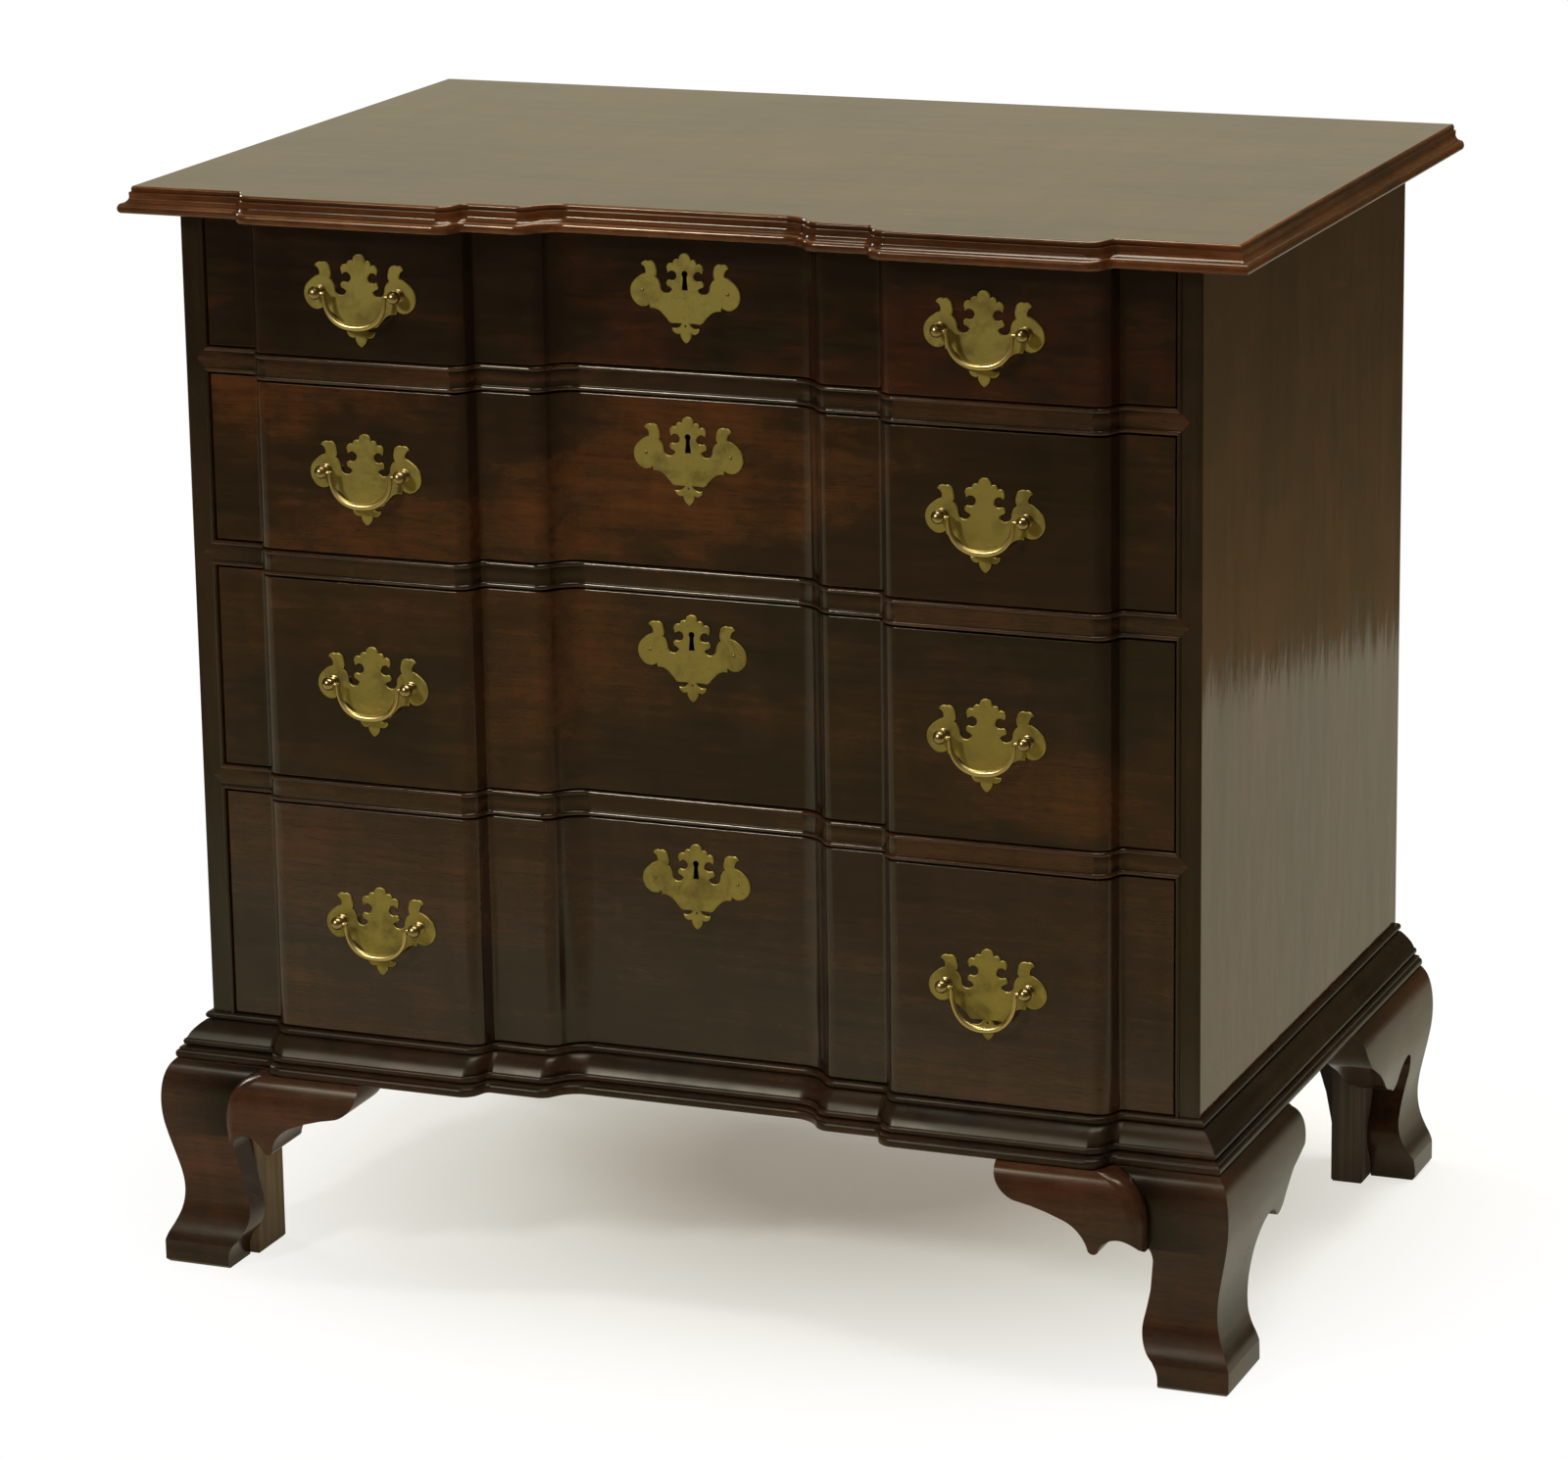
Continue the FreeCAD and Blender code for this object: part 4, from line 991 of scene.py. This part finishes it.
lock_ease = 0.0004
lock_iron = iron("iron_locks", 8)
for number in drawer_numbers:
    name = "drawer_%d" % number
    dress(name + "_lock", name, lock_iron, lock_ease)
    dress(name + "_bolt", name + "_bolt", lock_iron, lock_ease)

# --- Plates -----------------------------------------------------------------------
# Batwing plates of thin cast brass, sawn out and filed to a bevel all round. Two
# carry the handles on the blocks, and a pierced one in the hollow is pinned on.

plate_bevel = 0.0006
bevel_up, bevel_in = 0.65, 0.55
tip_limit = 0.2
tip_room = 1.02
escutcheon_scale = 0.955
pin_spread = 0.0335
pin_lower = 0.001
tip_drop = 0.0272
pin_radius, pin_stand = 0.0014, 0.0007
tack_radius, tack_stand = 0.0009, 0.0003
pin_sides = 10
pin_levels = (0.0, 0.35, 0.7, 0.93)
plate_sharp = 25
wing_half = [
    (0.0, 28.7), (3.6, 27.4, 5.0, 23.6), (8.2, 23.8, 9.9, 20.6), (13.6, 20.4, 14.8, 16.2),
    (14.0, 13.6), (7.0, 11.2, 12.7, 8.0), (15.4, 5.6, 13.1, 2.8), (10.9, 1.0),
    (16.1, -2.4, 20.1, 2.4), (21.2, 6.6, 24.2, 10.0), (23.2, 14.0, 23.8, 17.2),
    (26.2, 21.2, 30.4, 21.4), (34.2, 21.2, 36.2, 18.9), (32.9, 15.9, 32.8, 12.4),
    (39.4, 8.6, 43.7, 4.3), (45.2, -4.4, 38.9, -12.8), (34.5, -13.6, 30.1, -11.7),
    (29.0, -14.6), (24.2, -15.0, 19.9, -17.6), (15.0, -22.8), (13.1, -24.9, 9.9, -25.4),
    (3.6, -25.4), (5.8, -28.3, 11.4, -28.8), (9.5, -32.6, 4.7, -33.2), (3.4, -37.4, 0.0, -40.6)]


def brass(name, seed, gold=(0.385, 0.315, 0.082), brown=(0.25, 0.195, 0.052), gloss=0.50):
    """Old cast brass gone olive, brighter where it is rubbed and along its edges, where this is also a
    painted highlight.
    """
    made, tree, shader = new_material(name)
    place = placed(tree, seed)
    tarnish = texture(tree, place, (45.0, 45.0, 45.0), 5.0, 0.6, 0.4)
    specks = texture(tree, place, (420.0, 420.0, 420.0), 3.0, 0.6)
    colour = graded(tree, tarnish, [(0.34, brown), (0.50, gold), (0.68, tuple(1.15 * v for v in gold))])
    colour = blended(tree, 0.6, colour, greys(tree, specks, [(0.30, 0.35), (0.38, 1.0)]), "MULTIPLY")
    out = node(tree, "Attribute", {}, attribute_name="rub_and_shade").outputs["Fac"]
    # Edges are lightened: rubbed brass, and a painted highlight along the bevels.
    wear_and_glint = node(tree, "MapRange", {"Value": out, "From Min": 0.15, "From Max": 0.6}).outputs[0]
    colour = blended(tree, wear_and_glint, colour, tuple(min(1.0, 2.0 * v) for v in gold))
    rough = node(tree, "MapRange", {"Value": tarnish, "From Min": 0.3, "From Max": 0.7,
                                    "To Min": gloss + 0.12, "To Max": gloss - 0.06})
    uneven = texture(tree, place, (120.0, 120.0, 120.0), 2.0)
    filed = node(tree, "Bump", {"Height": uneven, "Strength": 0.10, "Distance": 0.0012})
    feed(shader, {"Base Color": colour, "Roughness": rough.outputs[0], "Normal": filed.outputs[0],
                  "Metallic": 1.0})
    return made


def shrunk(points, inset):
    """A closed outline moved inwards by an inset, for a bevel; sharp tips stay mitred."""
    count = len(points)
    area = sum(a[0] * b[1] - b[0] * a[1] for a, b in zip(points, points[1:] + points[:1]))
    hand = math.copysign(1.0, area)
    made, turns, spans = [], [], []
    for i, point in enumerate(points):
        here = Vector(point)
        into = here - Vector(points[i - 1])
        out = Vector(points[(i + 1) % count]) - here
        spans.append(out.length)
        turn = -hand * into.angle_signed(out)
        normal = Vector((-into.normalized().y - out.normalized().y,
                         into.normalized().x + out.normalized().x)).normalized() * hand
        turns.append(turn)
        made.append(tuple(here + normal * inset / max(tip_limit, math.cos(turn / 2))))
    moved = list(made)
    for i, turn in enumerate(turns):
        if turn < slight_turn:
            continue
        room = tip_room * inset * math.tan(turn / 2)
        for way in (1, -1):
            j, gone = i, spans[i] if way == 1 else spans[i - 1]
            while gone <= room:
                j = (j + way) % count
                moved[j] = made[i]
                gone += spans[j] if way == 1 else spans[j - 1]
    return moved


def batwing(scale):
    """Outline of a whole plate about the line of its posts."""
    half = traced(in_metres(wing_half))
    whole = half + [(-u, v) for u, v in reversed(half[1:-1])]
    return [(u * scale, v * scale) for u, v in whole]


def plate_run(x, back, z, scale):
    """Rings of one plate from its back to the top of its bevel."""
    whole = batwing(scale)
    bevel_low = plate_thick - plate_bevel
    levels = ((0.0, 0.0), (bevel_low, 0.0), (bevel_low + bevel_up * plate_bevel, bevel_in),
              (plate_thick, 1.0))
    rings = []
    for out, inset in levels:
        ring = whole if inset == 0.0 else shrunk(whole, inset * plate_bevel)
        rings.append([(x + u, back - out, z + v) for u, v in ring])
    return rings


def around(count):
    """Cosine and sine of directions spread evenly round a circle."""
    angles = [2 * math.pi * step / count for step in range(count)]
    return [(math.cos(angle), math.sin(angle)) for angle in angles]


def pin_run(x, face, z, radius, stand):
    """Rings of a small round pin head."""
    rings = []
    for share in pin_levels:
        reach = radius * math.sqrt(1 - share * share)
        rings.append([(x + reach * c, face - stand * share, z + reach * s) for c, s in around(pin_sides)])
    return rings


plate_brass = brass("brass_plates", 9)
pin_brass = brass("brass_pins", 10, gold=(0.15, 0.105, 0.045), brown=(0.08, 0.055, 0.026), gloss=0.34)
for number in drawer_numbers:
    name = "drawer_%d" % number
    z = pull_heights[number - 1]
    runs = [plate_run(side * pull_x, stile_face - block_rise, z, 1.0) for side in (-1, 1)]
    pulls = solid(name + "_pull_plates", runs)
    cut(pulls, [])
    finished(pulls, name, plate_brass, [name + "_brasses"], plate_sharp)

    z = escutcheon_heights[number - 1]
    back = stile_face + recess_depth
    escutcheon = solid(name + "_escutcheon", [plate_run(0.0, back, z, escutcheon_scale)])
    cut(escutcheon, [keyhole(z + keyhole_raise, back - keyhole_spare, back + keyhole_spare)])
    finished(escutcheon, name, plate_brass, [name + "_brasses"], plate_sharp)
    face = back - plate_thick
    pins = [pin_run(side * pin_spread, face, z - pin_lower, pin_radius, pin_stand) for side in (-1, 1)]
    finished(solid(name + "_escutcheon_pins", pins), name, pin_brass)
    tacks = [pin_run(0.0, face, z - tip_drop * escutcheon_scale, tack_radius, tack_stand)]
    tacks += [pin_run(side * pull_x, plate_face, pull_heights[number - 1] - tip_drop,
                      tack_radius, tack_stand) for side in (-1, 1)]
    finished(solid(name + "_tip_tacks", tacks), name, nail_iron)

# --- Handle posts -----------------------------------------------------------------
# Turned brass posts with a collar, a neck and a ball that is drilled for the bail.
# A square shank runs through the front and is held by a nut behind.

bail_stand = 0.009
ball_radius = 0.0052
bail_pin = 0.0016
hole_room = 0.00005
hole_reach = 0.0031
shank_sunk = 0.0004
ball_from, ball_turn, ball_steps = -58, 143, 11
post_sides = 28
post_sharp = 30
hole_sides = 20
nut_half = 0.0045
nut_thick = 0.0035
nut_spare = 0.0006
post_profile = in_metres([
    (4.8, 0.0), (4.9, 0.5), (4.6, 1.1), (3.8, 1.5), (3.3, 1.9), (3.7, 2.3), (3.5, 2.7), (2.9, 3.0),
    (2.6, 3.6), (2.75, 4.5)])
for step in range(1, ball_steps + 1):
    angle = math.radians(ball_from + ball_turn * step / ball_steps)
    post_profile.append((ball_radius * math.cos(angle), bail_stand + ball_radius * math.sin(angle)))


def post_rings(x, z):
    """Rings of a turned post, from its collar to the end of its ball."""
    return [[(x + radius * c, plate_face - out, z + radius * s) for c, s in around(post_sides)]
            for radius, out in post_profile]


def pin_hole(x, z, inward):
    """The hole drilled into a post's ball from the side that faces the other post."""
    reach = bail_pin + hole_room
    return [[(end, plate_face - bail_stand + reach * c, z + reach * s) for c, s in around(hole_sides)]
            for end in (x - inward * hole_reach, x + inward * 2 * ball_radius)]


def shank_and_nut(x, z):
    """Two square bars: the shank through the front and the nut behind it."""
    bars = []
    nut_back = front_back + nut_thick
    for half, start, end in ((shank_half, plate_face + shank_sunk, nut_back + nut_spare),
                             (nut_half, front_back, nut_back)):
        square = eased([(x - half, z - half), (x + half, z - half), (x + half, z + half),
                        (x - half, z + half)], shank_sunk)
        bars.append([[(u, y, v) for u, v in square] for y in (start, end)])
    return bars


post_brass = brass("brass_posts", 12, gold=(0.25, 0.185, 0.080), brown=(0.12, 0.083, 0.038), gloss=0.26)
for number in drawer_numbers:
    name = "drawer_%d" % number
    z = pull_heights[number - 1]
    places = [(side * pull_x - inward * post_half, inward) for side in (-1, 1) for inward in (1, -1)]
    posts = solid(name + "_turned_posts", [post_rings(x, z) for x, inward in places])
    cut(posts, [solid("drill", [pin_hole(x, z, inward) for x, inward in places])])
    finished(posts, name, post_brass, [name + "_posts"], post_sharp)
    shafts = [bar for x, inward in places for bar in shank_and_nut(x, z)]
    finished(solid(name + "_shanks_and_nuts", shafts), name, post_brass, [name + "_posts"])

# --- Bails ------------------------------------------------------------------------
# Cast brass drop handles, thick in the middle and thin at the ends, which turn
# out into the drilled balls. The right-hand one of the lowest drawer is longer.

bail_gap = 0.0005
bail_end = 0.0017
bail_middle = 0.0026
bail_fullness = 2.3
bail_taper = 1.6
bail_steps = 44
bail_sides = 16
bail_sharp = 60
pin_reach = 0.0026
pin_lead = 0.0006
bail_drop = 0.0245
long_drop = 0.030
bail_brass = brass("brass_bails", 15, gold=(0.30, 0.235, 0.090), brown=(0.20, 0.15, 0.056), gloss=0.30)


def bail_rings(x, z, low):
    """Rings of one bail along its curve, from one pin to the other, hanging to its low point."""
    shoulder = post_half - ball_radius - bail_gap
    arm = shoulder - bail_end
    power = 2 / bail_fullness
    line = [(-post_half - pin_reach, 0.0, bail_pin), (-shoulder - pin_lead, 0.0, bail_pin)]
    for step in range(bail_steps + 1):
        angle = math.pi * step / bail_steps
        across = -arm * math.copysign(abs(math.cos(angle)) ** power, math.cos(angle))
        swell = bail_end + (bail_middle - bail_end) * math.sin(angle) ** bail_taper
        line.append((across, -low * math.sin(angle) ** power, swell))
    line += [(-u, v, r) for u, v, r in reversed(line[:2])]
    rings = []
    for i, (u, v, radius) in enumerate(line):
        before, after = line[max(i - 1, 0)], line[min(i + 1, len(line) - 1)]
        along = Vector((after[0] - before[0], after[1] - before[1])).normalized()
        rings.append([(x + u - along.y * radius * c, plate_face - bail_stand + radius * s,
                       z + v + along.x * radius * c) for c, s in around(bail_sides)])
    return rings


for number in drawer_numbers:
    for side, hand in hands:
        body = "drawer_%d_bail_%s" % (number, hand)
        low = long_drop if body == "drawer_4_bail_right" else bail_drop
        rings = bail_rings(side * pull_x, pull_heights[number - 1], low)
        finished(solid(body + "_handle", [rings]), body, bail_brass, [body], bail_sharp)

# --- Room ---------------------------------------------------------------------------
# The chest stands on white paper. A wide soft light hangs overhead, smaller ones
# stand in front and on the left, and the dark studio beyond shows only in the gloss.

camera_place = (1.592, -4.020, 1.547)
camera_data = bpy.data.cameras.new("camera")
camera_data.lens = 131.76
camera_data.sensor_width = 36.0
camera_data.sensor_fit = "HORIZONTAL"
camera_data.clip_end = 200.0
camera = bpy.data.objects.new("camera", camera_data)
bpy.context.scene.collection.objects.link(camera)
yaw, pitch, roll = math.radians(-21.84), math.radians(14.91), math.radians(-0.86)
ahead = Vector((math.sin(yaw) * math.cos(pitch), math.cos(yaw) * math.cos(pitch), -math.sin(pitch)))
right = Vector((math.cos(yaw), -math.sin(yaw), 0.0))
up = right.cross(ahead)
right, up = math.cos(roll) * right + math.sin(roll) * up, math.cos(roll) * up - math.sin(roll) * right
turn = camera.matrix_world.copy()
for column, axis in enumerate((right, up, -ahead)):
    for row in range(3):
        turn[row][column] = axis[row]
turn.translation = camera_place
camera.matrix_world = turn
bpy.context.scene.camera = camera


def room_piece(name, quads, colour):
    """A part of the room, made of four-cornered faces in one dull colour."""
    mesh = bpy.data.meshes.new(name)
    mesh.from_pydata([point for quad in quads for point in quad], [],
                     [tuple(range(4 * i, 4 * i + 4)) for i in range(len(quads))])
    made = bpy.data.objects.new(name, mesh)
    bpy.context.scene.collection.objects.link(made)
    material, tree, shader = new_material(name)
    feed(shader, {"Base Color": (*colour, 1.0), "Roughness": 0.9})
    mesh.materials.append(material)
    return made


def plainly_seen(tree):
    """Whether a thing is seen straight, and whether straight, in a gloss or through glass."""
    path = node(tree, "LightPath", {})
    seen = path.outputs["Is Camera Ray"]
    for way in ("Is Glossy Ray", "Is Transmission Ray"):
        seen = node(tree, "Math", {0: seen, 1: path.outputs[way]}, operation="MAXIMUM").outputs[0]
    return path.outputs["Is Camera Ray"], seen


paper_half = 40.0
paper_white = (0.93, 0.93, 0.93)
shadow_middle = (0.0, 0.12, 0.0)
shadow_inner, shadow_outer = 0.12, 0.62
shadow_paper = (1.0, 0.94, 0.72)
# In the gloss the paper shows dimmer and creamier than it does to the camera: a painted reflection.
painted_paper_reflection = (0.56, 0.52, 0.38)
white_light = (1.0, 1.0, 1.0)
paper_corners = [(-paper_half, -paper_half, 0.0), (paper_half, -paper_half, 0.0),
                 (paper_half, paper_half, 0.0), (-paper_half, paper_half, 0.0)]
paper = room_piece("paper", [paper_corners], paper_white)
tree = paper.active_material.node_tree
shader = tree.nodes["Principled BSDF"]
feed(shader, {"Specular IOR Level": 0.1})
# To the camera the paper glows white away from the chest. Near it the glow fades to a warm tint that lifts
# and colours its shadow: a painted shadow tint.
straight, seen = plainly_seen(tree)
here = node(tree, "TexCoord", {}).outputs["Object"]
middle = node(tree, "VectorMath", {0: here, 1: shadow_middle}, operation="SUBTRACT").outputs[0]
away = node(tree, "VectorMath", {0: middle}, operation="LENGTH").outputs["Value"]
open_floor = node(tree, "MapRange", {
    "Value": away, "From Min": shadow_inner, "From Max": shadow_outer, "To Min": 0.22}).outputs[0]
white = node(tree, "Math", {0: seen, 1: open_floor}, operation="MULTIPLY").outputs[0]
shadow_tint_to_white = blended(tree, open_floor, shadow_paper, white_light)
glow = node(tree, "Emission", {"Color": blended(tree, straight, painted_paper_reflection, shadow_tint_to_white), "Strength": 1.0})
mixed = node(tree, "MixShader", {0: white, 1: shader.outputs[0], 2: glow.outputs[0]})
feed(tree.nodes["Material Output"], {"Surface": mixed.outputs[0]})

axis = Vector((math.sin(yaw), math.cos(yaw)))
cross = Vector((axis.y, -axis.x))
stand = Vector(camera_place[:2])
paper_left, paper_right, paper_front = -3.2, 1.56, 3.4
room_half = 10.0
room_front, room_back = -8.0, 9.5
ceiling = 5.0
above_paper = 0.0004
studio_brown = (0.21, 0.155, 0.065)


def in_room(u, v, z):
    """A place given across and along the room, from where the camera stands."""
    spot = stand + cross * u + axis * v
    return (spot.x, spot.y, z)


quads = []
for a, b, c, d, z in ((paper_right, room_half, room_front, room_back, above_paper),
                      (-room_half, paper_left, room_front, room_back, above_paper),
                      (paper_left, paper_right, room_front, paper_front, above_paper),
                      (-room_half, room_half, room_front, room_back, ceiling)):
    quads.append([in_room(a, c, z), in_room(b, c, z), in_room(b, d, z), in_room(a, d, z)])
for (a, c), (b, d) in (((-room_half, room_front), (room_half, room_front)),
                       ((room_half, room_front), (room_half, room_back)),
                       ((-room_half, room_front), (-room_half, room_back)),
                       ((-room_half, room_back), (paper_left, room_back)),
                       ((paper_right, room_back), (room_half, room_back))):
    quads.append([in_room(a, c, 0.0), in_room(b, d, 0.0), in_room(b, d, ceiling), in_room(a, c, ceiling)])
studio = room_piece("dark_studio", quads, studio_brown)
# Seen only in reflections, the dark studio is a painted reflection: it neither lights nor shades the
# chest.
studio.visible_camera = False
studio.visible_diffuse = False
studio.visible_shadow = False


def soft_light(name, place, aim, size, power):
    """A lamp with a cloth over it, turned to a place on the chest."""
    lamp = bpy.data.lights.new(name, "AREA")
    lamp.shape = "RECTANGLE"
    lamp.size, lamp.size_y = size
    lamp.energy = power
    made = bpy.data.objects.new(name, lamp)
    made.location = place
    made.rotation_euler = (Vector(aim) - Vector(place)).to_track_quat("-Z", "Y").to_euler()
    bpy.context.scene.collection.objects.link(made)


soft_light("overhead", (0.3, 0.1, 2.75), (0.0, 0.0, 0.0), (1.4, 1.8), 105.0)
soft_light("front", (-1.4, -3.0, 2.4), (0.0, 0.0, 0.4), (0.45, 0.45), 58.0)
soft_light("left", (-2.6, 0.9, 1.5), (0.0, -0.2, 0.5), (0.6, 1.0), 26.0)

world = bpy.data.worlds.new("studio")
bpy.context.scene.world = world
world.use_nodes = True
tree = world.node_tree
straight, seen = plainly_seen(tree)
room_light = (0.30, 0.30, 0.30)
# In the gloss the world shows dim cream rather than white: a painted reflection.
painted_room_reflection = (0.52, 0.475, 0.34)
shown = blended(tree, seen, room_light, blended(tree, straight, painted_room_reflection, white_light))
feed(tree.nodes["Background"], {"Color": shown, "Strength": 1.0})

bpy.context.scene.view_settings.view_transform = "Standard"
